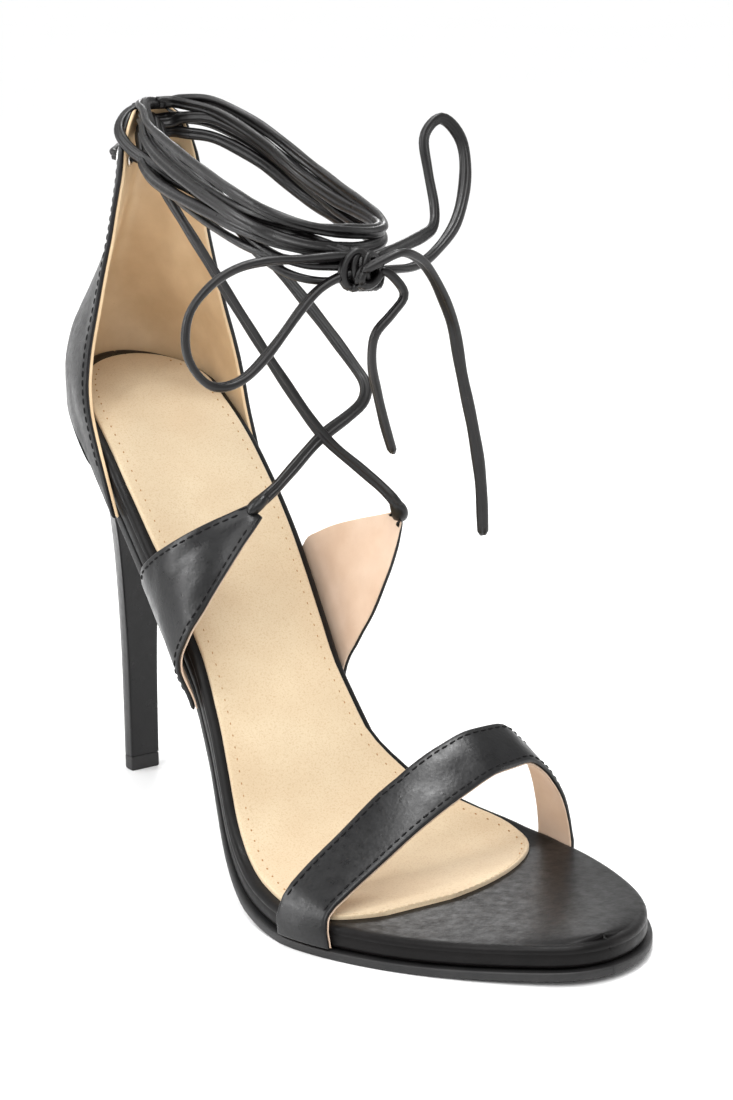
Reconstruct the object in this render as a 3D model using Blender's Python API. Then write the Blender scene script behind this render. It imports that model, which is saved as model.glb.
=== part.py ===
"""A right-foot lace up heeled sandal: a wrapped board on a thin sole and a stiletto heel,
a closed heel cup, a toe band, two side flaps, and laces wound at the ankle and tied in a bow.

Metres, +Z up. The toe points to -Y and the inner side of the foot to +X. Z is 0 on the floor.
The origin is the middle of the forefoot's resting spot. In the tables and routes below,
"along" is the distance forward from the back of the footbed.
"""

from bisect import bisect_right
from collections import namedtuple
from functools import lru_cache
from math import ceil, cos, hypot, pi, sin, sqrt

import bmesh
import bpy
from mathutils import Vector

MM = 0.001

# Driving sizes of the sole and the last
SHOE_LENGTH = 208.0 * MM
BALL_WIDTH = 82.0 * MM
HEEL_HEIGHT = 110.0 * MM
SOLE_THICKNESS = 2.0 * MM
SOLE_LEDGE = 1.2 * MM
BOARD_THICKNESS = 5.2 * MM
TOE_CROWN = 1.2 * MM
SOCK_THICKNESS = 1.0 * MM
SOCK_MARGIN = 2.6 * MM
FIT = 0.3 * MM
LAYER_FIT = 0.4 * MM

# Where the ends of the last become round
HEEL_ROUND = 26.0 * MM
HEEL_BACK_X = 2.0 * MM
TOE_ROUND = 62.0 * MM
TOE_TIP_X = 3.0 * MM
TOE_LATERAL_POWER = 1.5
TOE_MEDIAL_POWER = 2.0

# The sock's round front edge
SOCK_FRONT = 164.0 * MM
SOCK_FRONT_X = -16.0 * MM
SOCK_LATERAL_CORNER = 9.0 * MM
SOCK_MEDIAL_CORNER = 34.0 * MM

# Heel
BREAST_ALONG = 41.0 * MM
TIP_WIDTH = 8.8 * MM
TIP_DEPTH = 6.8 * MM
TIP_BACK_ALONG = 8.5 * MM
TIP_X = -0.8 * MM
TIP_HEIGHT = 4.2 * MM

# Heel cup
COUNTER_TOP = 183.0 * MM
COUNTER_WALL = 2.0 * MM
COUNTER_FRONT = 34.0 * MM
COUNTER_WING_LATERAL = 20.0 * MM
COUNTER_WING_MEDIAL = 9.0 * MM
COUNTER_AXIS_X = -1.0 * MM
EYELET_DROP = 12.0 * MM
EYELET_INSET = 6.0 * MM
EYELET_BORE = 1.6 * MM
EYELET_TUBE = 0.5 * MM
EYELET_FLANGE = 1.3 * MM
EYELET_PLATE = 0.6 * MM
EYELET_SEAT = 0.75 * MM

# Straps
STRAP_WALL = 1.6 * MM
TOE_STRAP_RISE = 36.8 * MM
STRAP_CREST = 0.6 * MM
FLAP_REAR = 67.0 * MM
LATERAL_FLAP_FRONT = 90.0 * MM
MEDIAL_FLAP_FRONT = 91.5 * MM

# Laces
LACE = 2.8 * MM
KNOT_WIDTH = 14.0 * MM
KNOT_HEIGHT = 9.0 * MM
KNOT_DEPTH = 8.0 * MM
KNOT_PLACE = (2.0, 121.5, 150.5)
TURNS = 3

# The middle of the forefoot's resting spot, forward from the back of the footbed
REST_ALONG = 158.0 * MM

# The last in plan and in profile. along: share of SHOE_LENGTH. lateral, medial: share of
# BALL_WIDTH. rise: share of the climb from the forefoot to HEEL_HEIGHT. skew: how far along
# the profile shifts for each unit across, because the ball line is slanted.
Last = namedtuple("Last", "along lateral medial rise skew")
LAST = [
    Last(0.00, -0.2200, 0.2500, 1.000, 0.00),
    Last(0.06, -0.2450, 0.2500, 0.968, 0.00),
    Last(0.11, -0.2740, 0.2475, 0.934, 0.00),
    Last(0.16, -0.3125, 0.2350, 0.884, 0.00),
    Last(0.21, -0.3325, 0.2275, 0.817, 0.00),
    Last(0.26, -0.3475, 0.2160, 0.733, 0.00),
    Last(0.31, -0.3525, 0.2050, 0.634, 0.00),
    Last(0.36, -0.3460, 0.1875, 0.525, 0.00),
    Last(0.41, -0.3450, 0.1625, 0.415, 0.03),
    Last(0.46, -0.3690, 0.1400, 0.305, 0.07),
    Last(0.51, -0.4125, 0.1400, 0.202, 0.10),
    Last(0.56, -0.4575, 0.2060, 0.107, 0.13),
    Last(0.61, -0.4910, 0.3190, 0.048, 0.15),
    Last(0.66, -0.5110, 0.4225, 0.014, 0.12),
    Last(0.71, -0.5200, 0.4750, 0.000, 0.06),
    Last(0.76, -0.5220, 0.4780, 0.000, 0.02),
    Last(0.82, -0.5220, 0.4780, 0.000, 0.00),
    Last(1.00, -0.5220, 0.4780, 0.013, 0.00),
]

# The board's wrapped edge. inset: share of BOARD_THICKNESS. level: share of it, from below.
Rim = namedtuple("Rim", "inset level")
BOARD_RIM = [Rim(0.22, 0.0), Rim(0.0, 0.22), Rim(0.0, 0.66), Rim(0.12, 0.90), Rim(0.40, 1.0)]
SOLE_RIM = [Rim(0.10, 0.0), Rim(0.0, 0.25), Rim(0.0, 0.80), Rim(0.10, 1.0)]
SOCK_RIM = [Rim(0.0, 0.0), Rim(0.10, 1.0)]
ACROSS = (0.16, 0.32, 0.5, 0.68, 0.84)
HEEL_ANGLES = (10, 25, 40, 55, 70, 90)
TOE_SHARES = (0.0, 0.18, 0.35, 0.50, 0.63, 0.74, 0.83, 0.90, 0.95, 0.98, 0.995)
SOCK_SHARES = (0.0, 0.3, 0.55, 0.75, 0.88, 0.96, 0.99)
STATION_STEP = 8.0 * MM
CROWN_START = 0.78
LEDGE_START = 0.42
LEDGE_FULL = 0.62
BREAST_GAP = 1.0 * MM
BREAST_HOLLOW = 1.0 * MM
HEEL_COLUMNS = 9
CUP_FIT = 0.4 * MM
CUP_SEAT = 0.5 * MM
STRAP_COLUMNS = 6
STRAP_PINNED = 0.17
STRAP_SEAT = 0.2 * MM

# The heel from its top piece to the seat. up: share of the height there. width, back,
# front: how far each has grown from the tip's size to the seat's.
HeelRow = namedtuple("HeelRow", "up width back front")
HEEL_ROWS = [
    HeelRow(0.00, 0.000, 0.00, 0.000),
    HeelRow(0.25, 0.012, 0.09, 0.012),
    HeelRow(0.50, 0.070, 0.29, 0.044),
    HeelRow(0.65, 0.160, 0.44, 0.107),
    HeelRow(0.77, 0.350, 0.60, 0.246),
    HeelRow(0.86, 0.580, 0.75, 0.464),
    HeelRow(0.93, 0.790, 0.87, 0.722),
    HeelRow(1.00, 1.000, 1.00, 1.000),
]

# The heel cup from its lower edge to its peak. up: share of the height there. width, depth:
# shares of the seat's. pinch: how much narrower its back is than its front. reach: how far
# the front edge stands past COUNTER_FRONT, as a share of that side's wing. arc: the share of
# the half outline that the row covers.
CupRow = namedtuple("CupRow", "up width depth pinch reach arc")
CUP_ROWS = [
    CupRow(0.000, 1.00, 1.00, 0.00, 1.00, 1.00),
    CupRow(0.035, 1.00, 1.00, 0.00, 0.80, 1.00),
    CupRow(0.070, 1.00, 1.01, 0.00, 0.58, 1.00),
    CupRow(0.120, 1.00, 1.02, 0.02, 0.36, 1.00),
    CupRow(0.180, 0.98, 1.01, 0.08, 0.20, 1.00),
    CupRow(0.260, 0.92, 0.96, 0.20, 0.10, 1.00),
    CupRow(0.340, 0.84, 0.88, 0.36, 0.04, 1.00),
    CupRow(0.420, 0.76, 0.77, 0.46, 0.01, 1.00),
    CupRow(0.500, 0.69, 0.66, 0.52, 0.00, 1.00),
    CupRow(0.600, 0.60, 0.53, 0.56, 0.01, 1.00),
    CupRow(0.700, 0.53, 0.43, 0.60, 0.03, 1.00),
    CupRow(0.790, 0.47, 0.36, 0.64, 0.06, 1.00),
    CupRow(0.870, 0.43, 0.31, 0.68, 0.10, 0.98),
    CupRow(0.930, 0.40, 0.28, 0.70, 0.12, 0.88),
    CupRow(0.970, 0.38, 0.26, 0.70, 0.13, 0.72),
    CupRow(1.000, 0.37, 0.24, 0.70, 0.14, 0.46),
]
CUP_COLUMNS = 26

# The toe band, from the outer foot to the inner. across: share of the way. rear_rise,
# front_rise: shares of TOE_STRAP_RISE. rear, front: shares of SHOE_LENGTH.
Band = namedtuple("Band", "across rear_rise front_rise rear front")
TOE_BAND = [
    Band(0.000, 0.000, 0.000, 0.704, 0.775),
    Band(0.002, 0.110, 0.100, 0.702, 0.772),
    Band(0.020, 0.215, 0.180, 0.700, 0.767),
    Band(0.075, 0.320, 0.240, 0.698, 0.763),
    Band(0.220, 0.505, 0.390, 0.693, 0.758),
    Band(0.400, 0.745, 0.575, 0.690, 0.752),
    Band(0.565, 0.905, 0.710, 0.690, 0.747),
    Band(0.695, 0.975, 0.785, 0.690, 0.742),
    Band(0.800, 0.955, 0.785, 0.686, 0.735),
    Band(0.895, 0.800, 0.660, 0.681, 0.729),
    Band(0.962, 0.560, 0.450, 0.678, 0.725),
    Band(0.990, 0.340, 0.280, 0.677, 0.723),
    Band(0.999, 0.160, 0.140, 0.677, 0.723),
    Band(1.000, 0.000, 0.000, 0.677, 0.723),
]

# The side flaps above the board's edge, up to the point that holds the lace. rear, front:
# shares of SHOE_LENGTH. rear_up, front_up: shares of HEEL_HEIGHT. rear_x, front_x: shares
# of BALL_WIDTH.
Flap = namedtuple("Flap", "rear rear_up rear_x front front_up front_x")
LATERAL_FLAP = [
    Flap(0.338, 0.660, -0.376, 0.430, 0.432, -0.397),
    Flap(0.355, 0.690, -0.371, 0.432, 0.482, -0.405),
    Flap(0.377, 0.717, -0.355, 0.446, 0.542, -0.395),
    Flap(0.399, 0.748, -0.319, 0.460, 0.612, -0.352),
    Flap(0.415, 0.773, -0.269, 0.464, 0.682, -0.287),
    Flap(0.428, 0.795, -0.213, 0.459, 0.745, -0.206),
    Flap(0.436, 0.814, -0.169, 0.449, 0.781, -0.144),
]
MEDIAL_FLAP = [
    Flap(0.336, 0.665, 0.224, 0.446, 0.425, 0.172),
    Flap(0.356, 0.686, 0.227, 0.460, 0.477, 0.183),
    Flap(0.382, 0.707, 0.230, 0.477, 0.532, 0.197),
    Flap(0.411, 0.726, 0.235, 0.491, 0.595, 0.212),
    Flap(0.440, 0.743, 0.245, 0.499, 0.655, 0.235),
    Flap(0.466, 0.757, 0.257, 0.502, 0.709, 0.257),
    Flap(0.490, 0.771, 0.270, 0.502, 0.748, 0.277),
]

# Lace routes, chosen by hand in millimetres: x, along, z. Each ends short of its eyelet.
LACE_FROM_MEDIAL = [
    (20.2, 104.6, 88.4), (18.5, 101.5, 91.6), (15.5, 96.9, 95.8), (9.3, 89.5, 104.0),
    (3.0, 80.6, 118.5), (-2.5, 69.2, 135.3), (-6.0, 60.5, 147.5), (-7.6, 51.0, 157.5),
    (-8.0, 42.0, 165.5), (-7.9, 35.5, 169.6),
]
LACE_FROM_LATERAL = [
    (-9.6, 93.0, 91.6), (-6.5, 92.4, 93.2), (-1.0, 90.8, 96.4), (9.0, 88.9, 103.0),
    (16.5, 90.0, 107.6), (20.6, 91.2, 111.2), (22.6, 89.6, 115.2), (22.4, 84.2, 120.0),
    (19.5, 72.3, 131.5), (15.0, 58.9, 144.6), (10.6, 47.6, 155.5), (7.6, 41.0, 163.5),
    (5.9, 35.5, 169.2),
]

# One turn of lace round the ankle, in millimetres. fan: how far the turns lie apart there, in
# lace diameters. slide: how much farther forward each higher turn lies.
Turn = namedtuple("Turn", "x along z fan slide")
TURN_ROUTE = [
    Turn(-0.6, 30.4, 179.8, 1.12, 0.3),
    Turn(-4.6, 31.6, 179.6, 1.12, 0.2),
    Turn(-7.0, 35.0, 178.8, 1.12, 0.0),
    Turn(-8.8, 39.5, 177.0, 1.14, 0.0),
    Turn(-12.0, 47.0, 173.0, 1.20, 0.0),
    Turn(-15.2, 62.0, 169.0, 1.25, 0.0),
    Turn(-18.5, 84.0, 164.2, 1.20, 0.0),
    Turn(-18.0, 103.0, 159.2, 1.15, 0.0),
    Turn(-11.5, 113.0, 156.0, 1.12, 0.0),
    Turn(0.5, 115.8, 154.2, 1.12, 0.0),
    Turn(10.5, 112.0, 155.4, 1.12, 0.0),
    Turn(16.5, 100.5, 158.0, 1.15, 0.0),
    Turn(19.8, 83.0, 161.6, 1.30, 0.0),
    Turn(20.5, 66.0, 167.4, 1.40, 0.0),
    Turn(17.6, 52.0, 175.0, 1.25, 0.0),
    Turn(11.0, 41.5, 180.4, 1.15, 0.0),
    Turn(5.4, 35.0, 181.0, 1.12, 0.0),
    Turn(3.2, 31.4, 180.4, 1.12, 0.2),
]
LOOP_LEFT = [
    (-5.3, 120.8, 148.2), (-13.0, 119.0, 143.9), (-23.8, 117.0, 131.5), (-31.5, 116.0, 125.4),
    (-39.0, 115.0, 125.0), (-43.9, 113.4, 132.0), (-42.8, 112.4, 141.0), (-37.0, 112.6, 147.4),
    (-30.3, 113.6, 151.0), (-23.3, 115.6, 152.4), (-15.0, 118.0, 152.4), (-5.3, 120.8, 152.6),
]
LOOP_RIGHT = [
    (9.3, 120.7, 148.3), (16.0, 119.2, 148.2), (23.2, 117.0, 150.2), (33.2, 113.0, 156.4),
    (40.6, 107.4, 166.0), (42.6, 103.4, 175.4), (38.2, 101.2, 181.0), (32.6, 101.6, 177.0),
    (31.8, 104.0, 169.0), (31.0, 107.6, 160.6), (27.8, 111.4, 156.2), (22.4, 114.4, 154.6),
    (15.2, 118.0, 153.6), (9.3, 120.7, 152.7),
]
END_LEFT = [
    (5.2, 125.8, 147.4), (7.6, 127.0, 143.0), (3.9, 126.6, 138.6), (0.2, 125.2, 134.0),
    (0.6, 123.4, 127.0), (3.3, 121.5, 120.0), (6.5, 120.0, 111.5), (9.6, 119.0, 103.9),
]
END_RIGHT = [
    (1.0, 127.2, 151.6), (6.0, 128.4, 153.2), (11.0, 127.6, 151.5), (15.4, 126.0, 148.2),
    (20.5, 124.0, 142.2), (26.0, 121.6, 133.3), (29.6, 120.0, 121.6), (34.0, 119.0, 106.5),
    (37.0, 118.0, 93.4), (38.5, 117.0, 79.2),
]
LACE_STEP = 7.0 * MM
LACE_START = 0.8 * MM

# The lace round the cup's back: shares of the way from beside an eyelet to the cup's middle
BRIDGE_SHARES = (1.0, 0.78, 0.56, 0.34, 0.12)

BLACK_LEATHER = ((0.012, 0.012, 0.013), 0.42, 0.0)
COLOURS = {
    "outsole": ((0.020, 0.020, 0.021), 0.60, 0.0),
    "sock_lining": ((0.62, 0.45, 0.28), 0.85, 0.0),
    "eyelet": ((0.62, 0.62, 0.64), 0.25, 1.0),
    "lace": ((0.015, 0.015, 0.016), 0.50, 0.0),
}


def smooth_table(knots, values):
    """A smooth curve through a table's values that never swings past them."""
    steps = [b - a for a, b in zip(knots, knots[1:])]
    rates = [(b - a) / step for a, b, step in zip(values, values[1:], steps)]
    inner = [2 * p * q / (p + q) if p * q > 0 else 0.0 for p, q in zip(rates, rates[1:])]
    slopes = [rates[0]] + inner + [rates[-1]]

    def value(x):
        x = min(max(x, knots[0]), knots[-1])
        i = min(bisect_right(knots, x) - 1, len(steps) - 1)
        t = (x - knots[i]) / steps[i]
        start = (1 + 2 * t) * (1 - t) ** 2 * values[i] + t * (1 - t) ** 2 * steps[i] * slopes[i]
        end = t * t * (3 - 2 * t) * values[i + 1] - t * t * (1 - t) * steps[i] * slopes[i + 1]
        return start + end

    return value


def table_curves(rows, key, *columns):
    """One smooth curve for each named column of a table, against its key column."""
    knots = [getattr(row, key) for row in rows]
    return [smooth_table(knots, [getattr(row, name) for row in rows]) for name in columns]


LATERAL_EDGE, MEDIAL_EDGE, RISE, SKEW = table_curves(LAST, "along", "lateral", "medial", "rise", "skew")
CUP_WIDTH, CUP_DEPTH, CUP_PINCH, CUP_REACH, CUP_ARC = table_curves(
    CUP_ROWS, "up", "width", "depth", "pinch", "reach", "arc")
LATERAL, MEDIAL = -1, 1


def place(x, along, z):
    """From across, along and up to the model's axes."""
    return Vector((x, REST_ALONG - along, z))


def half_outline(side, along):
    """How far across the last's edge lies, rounded at the heel and at the toe."""
    edge = LATERAL_EDGE if side == LATERAL else MEDIAL_EDGE
    x = edge(along / SHOE_LENGTH) * BALL_WIDTH
    toe_start = SHOE_LENGTH - TOE_ROUND
    if along < HEEL_ROUND:
        back = 1 - max(along, 0.0) / HEEL_ROUND
        return HEEL_BACK_X + (x - HEEL_BACK_X) * sqrt(1 - back * back)
    if along > toe_start:
        power = TOE_LATERAL_POWER if side == LATERAL else TOE_MEDIAL_POWER
        share = min((along - toe_start) / TOE_ROUND, 1.0)
        return TOE_TIP_X + (x - TOE_TIP_X) * (1 - share ** power) ** (1 / power)
    return x


def edge_point(side, along, outward=0.0):
    """A point of the outline in plan, moved outward square to it."""
    small = 0.05 * MM
    before = min(max(along - small, 0.0), SHOE_LENGTH - 2 * small)
    after = before + 2 * small
    slope = (half_outline(side, after) - half_outline(side, before)) / (after - before)
    length = hypot(1, slope)
    return (half_outline(side, along) + side * outward / length,
            along - side * slope * outward / length)


def underside(along, x):
    """Height of the board's lower face, and how much its slope stretches a thickness."""
    share = along / SHOE_LENGTH
    low = SOLE_THICKNESS + LAYER_FIT
    climb = HEEL_HEIGHT - low
    place_on_profile = share - SKEW(share) * x / SHOE_LENGTH
    small = 0.002
    rate = (RISE(place_on_profile + small) - RISE(place_on_profile - small)) / (2 * small)
    return low + climb * RISE(place_on_profile), hypot(1, rate * climb / SHOE_LENGTH)


def surface(name):
    """A Principled material for the named piece."""
    key = next((word for word in COLOURS if name.startswith(word)), None)
    colour, roughness, metallic = COLOURS.get(key, BLACK_LEATHER)
    material = bpy.data.materials.new(name)
    material.use_nodes = True
    shader = material.node_tree.nodes["Principled BSDF"]
    shader.inputs["Base Color"].default_value = (*colour, 1.0)
    shader.inputs["Roughness"].default_value = roughness
    shader.inputs["Metallic"].default_value = metallic
    return material


def add_object(name, data):
    """Put a mesh or a curve into the scene as one named piece."""
    piece = bpy.data.objects.new(name, data)
    bpy.context.scene.collection.objects.link(piece)
    data.materials.append(surface(name))
    return piece


def add_mesh(name, shape):
    """Close a bmesh into a named piece with its faces outward."""
    bmesh.ops.recalc_face_normals(shape, faces=shape.faces)
    data = bpy.data.meshes.new(name)
    shape.to_mesh(data)
    shape.free()
    data.shade_smooth()
    data.set_sharp_from_angle(angle=pi / 5)
    return add_object(name, data)


def loft(name, sections):
    """A closed body through closed sections of equal count, with both ends capped."""
    shape = bmesh.new()
    rings = [[shape.verts.new(point) for point in section] for section in sections]
    for near, far in zip(rings, rings[1:]):
        for i in range(len(near)):
            j = (i + 1) % len(near)
            shape.faces.new((near[i], near[j], far[j], far[i]))
    shape.faces.new(rings[0])
    shape.faces.new(rings[-1])
    return add_mesh(name, shape)


def grid_normals(grid):
    """The normal at each point of a grid of rows and columns."""
    last_row = len(grid) - 1
    last_column = len(grid[0]) - 1
    normals = []
    for r in range(last_row + 1):
        row = []
        for c in range(last_column + 1):
            down = grid[min(r + 1, last_row)][c] - grid[max(r - 1, 0)][c]
            over = grid[r][min(c + 1, last_column)] - grid[r][max(c - 1, 0)]
            row.append(over.cross(down).normalized())
        normals.append(row)
    return normals


def sheet(name, grid, wall, upright_start=False):
    """A wall of even thickness over a grid of points on its inner face."""
    normals = grid_normals(grid)
    if upright_start:
        normals[0] = [Vector((normal.x, normal.y, 0)).normalized() for normal in normals[0]]
    sections = []
    for row, row_normals in zip(grid, normals):
        outer = [point + normal * wall for point, normal in zip(row, row_normals)]
        sections.append(row + outer[::-1])
    return loft(name, sections)


def stations():
    """Distances along the last where its sections lie, closer where the outline turns."""
    heel = [HEEL_ROUND * (1 - cos(angle * pi / 180)) for angle in HEEL_ANGLES]
    toe_start = SHOE_LENGTH - TOE_ROUND
    toe = [toe_start + TOE_ROUND * share for share in TOE_SHARES]
    count = ceil((toe_start - HEEL_ROUND) / STATION_STEP)
    middle = [HEEL_ROUND + (toe_start - HEEL_ROUND) * i / count for i in range(1, count)]
    return sorted(heel + middle + toe + [BREAST_ALONG + BREAST_GAP])


def slab(name, places, edge, rim, lift, thickness, crown=None):
    """A layer that follows the last's profile. edge(side, along, outward) is its outline."""

    def point(plan, level, share=0.0):
        bottom, stretch = underside(plan[1], plan[0])
        rise = crown(plan[1] / SHOE_LENGTH) * level * 4 * share * (1 - share) if crown else 0.0
        return place(plan[0], plan[1], bottom + stretch * (lift + level * thickness) + rise)

    sections = []
    for along in places:
        outer, inner = ([edge(side, along, -row.inset * thickness) for row in rim]
                        for side in (LATERAL, MEDIAL))

        def across(row, shares):
            return [point([a + (b - a) * share for a, b in zip(outer[row], inner[row])],
                          rim[row].level, share) for share in shares]

        section = [point(outer[0], rim[0].level)] + across(0, ACROSS)
        section += [point(plan, row.level) for plan, row in zip(inner, rim)]
        section += across(-1, ACROSS[::-1])
        section += [point(plan, row.level) for plan, row in zip(outer[:0:-1], rim[:0:-1])]
        sections.append(section)
    return loft(name, sections)


def build_footbed():
    """The wrapped board, its top a little domed at the toe."""
    crown = smooth_table([CROWN_START, 1.0], [0.0, TOE_CROWN])
    slab("footbed", stations(), edge_point, BOARD_RIM, 0.0, BOARD_THICKNESS, crown)


def build_outsole():
    """The sole sheet, from the heel's breast to the toe, with a ledge round the forepart."""
    start = BREAST_ALONG + BREAST_GAP
    ledge = smooth_table([LEDGE_START, LEDGE_FULL], [0.0, SOLE_LEDGE])

    def edge(side, along, outward):
        return edge_point(side, along, outward + ledge(along / SHOE_LENGTH))

    places = [along for along in stations() if along >= start]
    slab("outsole", places, edge, SOLE_RIM, -LAYER_FIT - SOLE_THICKNESS, SOLE_THICKNESS)


def build_sock():
    """The sock, a margin inside the board's edge, with a rounded front behind the toes."""

    def edge(side, along, outward):
        x, where = edge_point(side, along, outward - SOCK_MARGIN)
        corner = SOCK_LATERAL_CORNER if side == LATERAL else SOCK_MEDIAL_CORNER
        turn = min(max((where - SOCK_FRONT) / corner + 1, 0.0), 0.998)
        return SOCK_FRONT_X + (x - SOCK_FRONT_X) * sqrt(1 - turn * turn), where

    start = SOCK_FRONT - SOCK_LATERAL_CORNER
    places = [along for along in stations() if along < start - BREAST_GAP]
    places += [start + SOCK_LATERAL_CORNER * share for share in SOCK_SHARES]
    slab("sock_lining", places, edge, SOCK_RIM, BOARD_THICKNESS + LAYER_FIT, SOCK_THICKNESS)


def spread(path, shares):
    """Points at shares of a plan path's own length."""
    lengths = [0.0]
    for a, b in zip(path, path[1:]):
        lengths.append(lengths[-1] + hypot(b[0] - a[0], b[1] - a[1]))
    points = []
    for share in shares:
        target = share * lengths[-1]
        i = min(bisect_right(lengths, target) - 1, len(path) - 2)
        t = (target - lengths[i]) / (lengths[i + 1] - lengths[i])
        points.append([a + (b - a) * t for a, b in zip(path[i], path[i + 1])])
    return points


@lru_cache(maxsize=None)
def side_path(side, outward, front):
    """The outline in plan from the middle of the back to a place along one side."""
    turns = [HEEL_ROUND * (1 - cos(angle * pi / 180)) for angle in range(0, 91, 6)]
    straight = [HEEL_ROUND + (front - HEEL_ROUND) * i / 12 for i in range(1, 13)]
    path = [edge_point(side, along, outward) for along in turns + straight]
    return [(HEEL_BACK_X, -outward)] + path[1:]


def heel_ring(share_width, share_back, share_front, up):
    """One D-shaped section of the heel: round back, flat breast a little hollow."""
    shares = [i / HEEL_COLUMNS for i in range(HEEL_COLUMNS + 1)]
    tip_path = {}
    radius = TIP_WIDTH / 2
    for side in (LATERAL, MEDIAL):
        arc = [(TIP_X + side * radius * sin(angle * pi / 180),
                TIP_BACK_ALONG + radius * (1 - cos(angle * pi / 180))) for angle in range(0, 91, 10)]
        tip_path[side] = arc + [(TIP_X + side * radius, TIP_BACK_ALONG + TIP_DEPTH)]

    def corner_to_back(side):
        seat = spread(side_path(side, COUNTER_WALL + CUP_FIT, BREAST_ALONG), shares)
        tip = spread(tip_path[side], shares)
        points = []
        for seat_point, tip_point in zip(seat, tip):
            forward = (tip_point[1] - TIP_BACK_ALONG) / TIP_DEPTH
            growth = share_back + (share_front - share_back) * forward
            x = tip_point[0] + (seat_point[0] - tip_point[0]) * share_width
            points.append((x, tip_point[1] + (seat_point[1] - tip_point[1]) * growth))
        return points

    lateral = corner_to_back(LATERAL)[::-1]
    medial = corner_to_back(MEDIAL)[1:]
    a, b = medial[-1], lateral[0]
    breast = []
    for share in ACROSS:
        hollow = BREAST_HOLLOW * share_width * 4 * share * (1 - share)
        breast.append((a[0] + (b[0] - a[0]) * share, a[1] + (b[1] - a[1]) * share - hollow))
    ring = []
    for x, along in lateral + medial + breast:
        seat, stretch = underside(along, x)
        seat -= LAYER_FIT * stretch
        ring.append(place(x, along, TIP_HEIGHT + (seat - TIP_HEIGHT) * up))
    return ring


def build_heel():
    """The wrapped heel, from its seat down to the top piece."""
    loft("heel", [heel_ring(row.width, row.back, row.front, row.up) for row in HEEL_ROWS])


def build_heel_tip():
    """The top piece under the heel, flat on the floor."""
    ring = heel_ring(0.0, 0.0, 0.0, 0.0)
    top = [Vector((point.x, point.y, TIP_HEIGHT - FIT)) for point in ring]
    bottom = [Vector((point.x, point.y, 0.0)) for point in ring]
    loft("heel_tip", [bottom, top])


def cup_point(side, share, up):
    """A point on the cup's inner face, share of the way from its back to its front edge."""
    wing = COUNTER_WING_LATERAL if side == LATERAL else COUNTER_WING_MEDIAL
    front = COUNTER_FRONT + CUP_REACH(up) * wing
    path = side_path(side, CUP_FIT, round(front, 6))
    x, along = spread(path, [share * CUP_ARC(up)])[0]
    bottom = underside(along, x)[0] + CUP_SEAT
    behind = max(1 - along / COUNTER_FRONT, 0.0)
    x = COUNTER_AXIS_X + (x - COUNTER_AXIS_X) * CUP_WIDTH(up) * (1 - CUP_PINCH(up) * behind)
    if along < COUNTER_FRONT:
        along = COUNTER_FRONT + (along - COUNTER_FRONT) * CUP_DEPTH(up)
    return place(x, along, bottom + (COUNTER_TOP - bottom) * up)


def cup_place(side, share, up):
    """A point on the cup's inner face with the direction out of the cup there."""
    small = 0.01
    point = cup_point(side, share, up)
    forward = cup_point(side, share + small, up) - cup_point(side, share - small, up)
    upward = cup_point(side, share, up + small) - cup_point(side, share, up - small)
    return point, upward.cross(forward).normalized() * side


def share_behind(side, up, distance):
    """The share at which a point of the cup lies a distance behind its front edge."""
    steps = 60
    row = [cup_point(side, 1 - i / steps, up) for i in range(steps)]
    length = 0.0
    for i, (a, b) in enumerate(zip(row, row[1:])):
        length += (b - a).length
        if length >= distance:
            return 1 - (i + 1) / steps
    return 1 / steps


def eyelet_level():
    """How far up the cup the eyelets lie."""
    return 1 - EYELET_DROP / (COUNTER_TOP - HEEL_HEIGHT)


def eyelet_place(side):
    """Where an eyelet goes through the cup."""
    return cup_place(side, share_behind(side, eyelet_level(), EYELET_INSET), eyelet_level())


def turned(name, profile, centre, axis, segments=24):
    """A ring turned from a closed profile of radius and height about an axis."""
    turn = Vector((0, 0, 1)).rotation_difference(axis)
    shape = bmesh.new()
    rings = []
    for i in range(segments):
        angle = 2 * pi * i / segments
        rings.append([shape.verts.new(centre + turn @ Vector((r * cos(angle), r * sin(angle), h)))
                      for r, h in profile])
    for i, ring in enumerate(rings):
        after = rings[(i + 1) % segments]
        for j in range(len(profile)):
            k = (j + 1) % len(profile)
            shape.faces.new((ring[j], ring[k], after[k], after[j]))
    return add_mesh(name, shape)


def cut_hole(piece, centre, axis, radius, depth):
    """Cut a round hole through a piece."""
    shape = bmesh.new()
    bmesh.ops.create_cone(shape, cap_ends=True, segments=24, radius1=radius, radius2=radius, depth=depth)
    data = bpy.data.meshes.new(piece.name + "_hole")
    shape.to_mesh(data)
    shape.free()
    cutter = bpy.data.objects.new(data.name, data)
    bpy.context.scene.collection.objects.link(cutter)
    cutter.location = centre
    cutter.rotation_mode = "QUATERNION"
    cutter.rotation_quaternion = Vector((0, 0, 1)).rotation_difference(axis)
    cutter.hide_render = True
    cutter.display_type = "WIRE"
    hole = piece.modifiers.new("hole", "BOOLEAN")
    hole.operation = "DIFFERENCE"
    hole.solver = "EXACT"
    hole.object = cutter


def build_counter():
    """The closed heel cup, with a hole for each eyelet."""
    grid = []
    for row in CUP_ROWS:
        shares = [i / (CUP_COLUMNS // 2) for i in range(CUP_COLUMNS // 2, 0, -1)]
        lateral = [cup_point(LATERAL, share, row.up) for share in shares]
        medial = [cup_point(MEDIAL, share, row.up) for share in shares[::-1]]
        grid.append(lateral + [cup_point(LATERAL, 0.0, row.up)] + medial)
    counter = sheet("upper_counter", grid, -COUNTER_WALL, upright_start=True)
    for side in (LATERAL, MEDIAL):
        point, axis = eyelet_place(side)
        cut_hole(counter, point + axis * COUNTER_WALL / 2, axis, EYELET_BORE + EYELET_TUBE + FIT,
                 4 * COUNTER_WALL)


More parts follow.
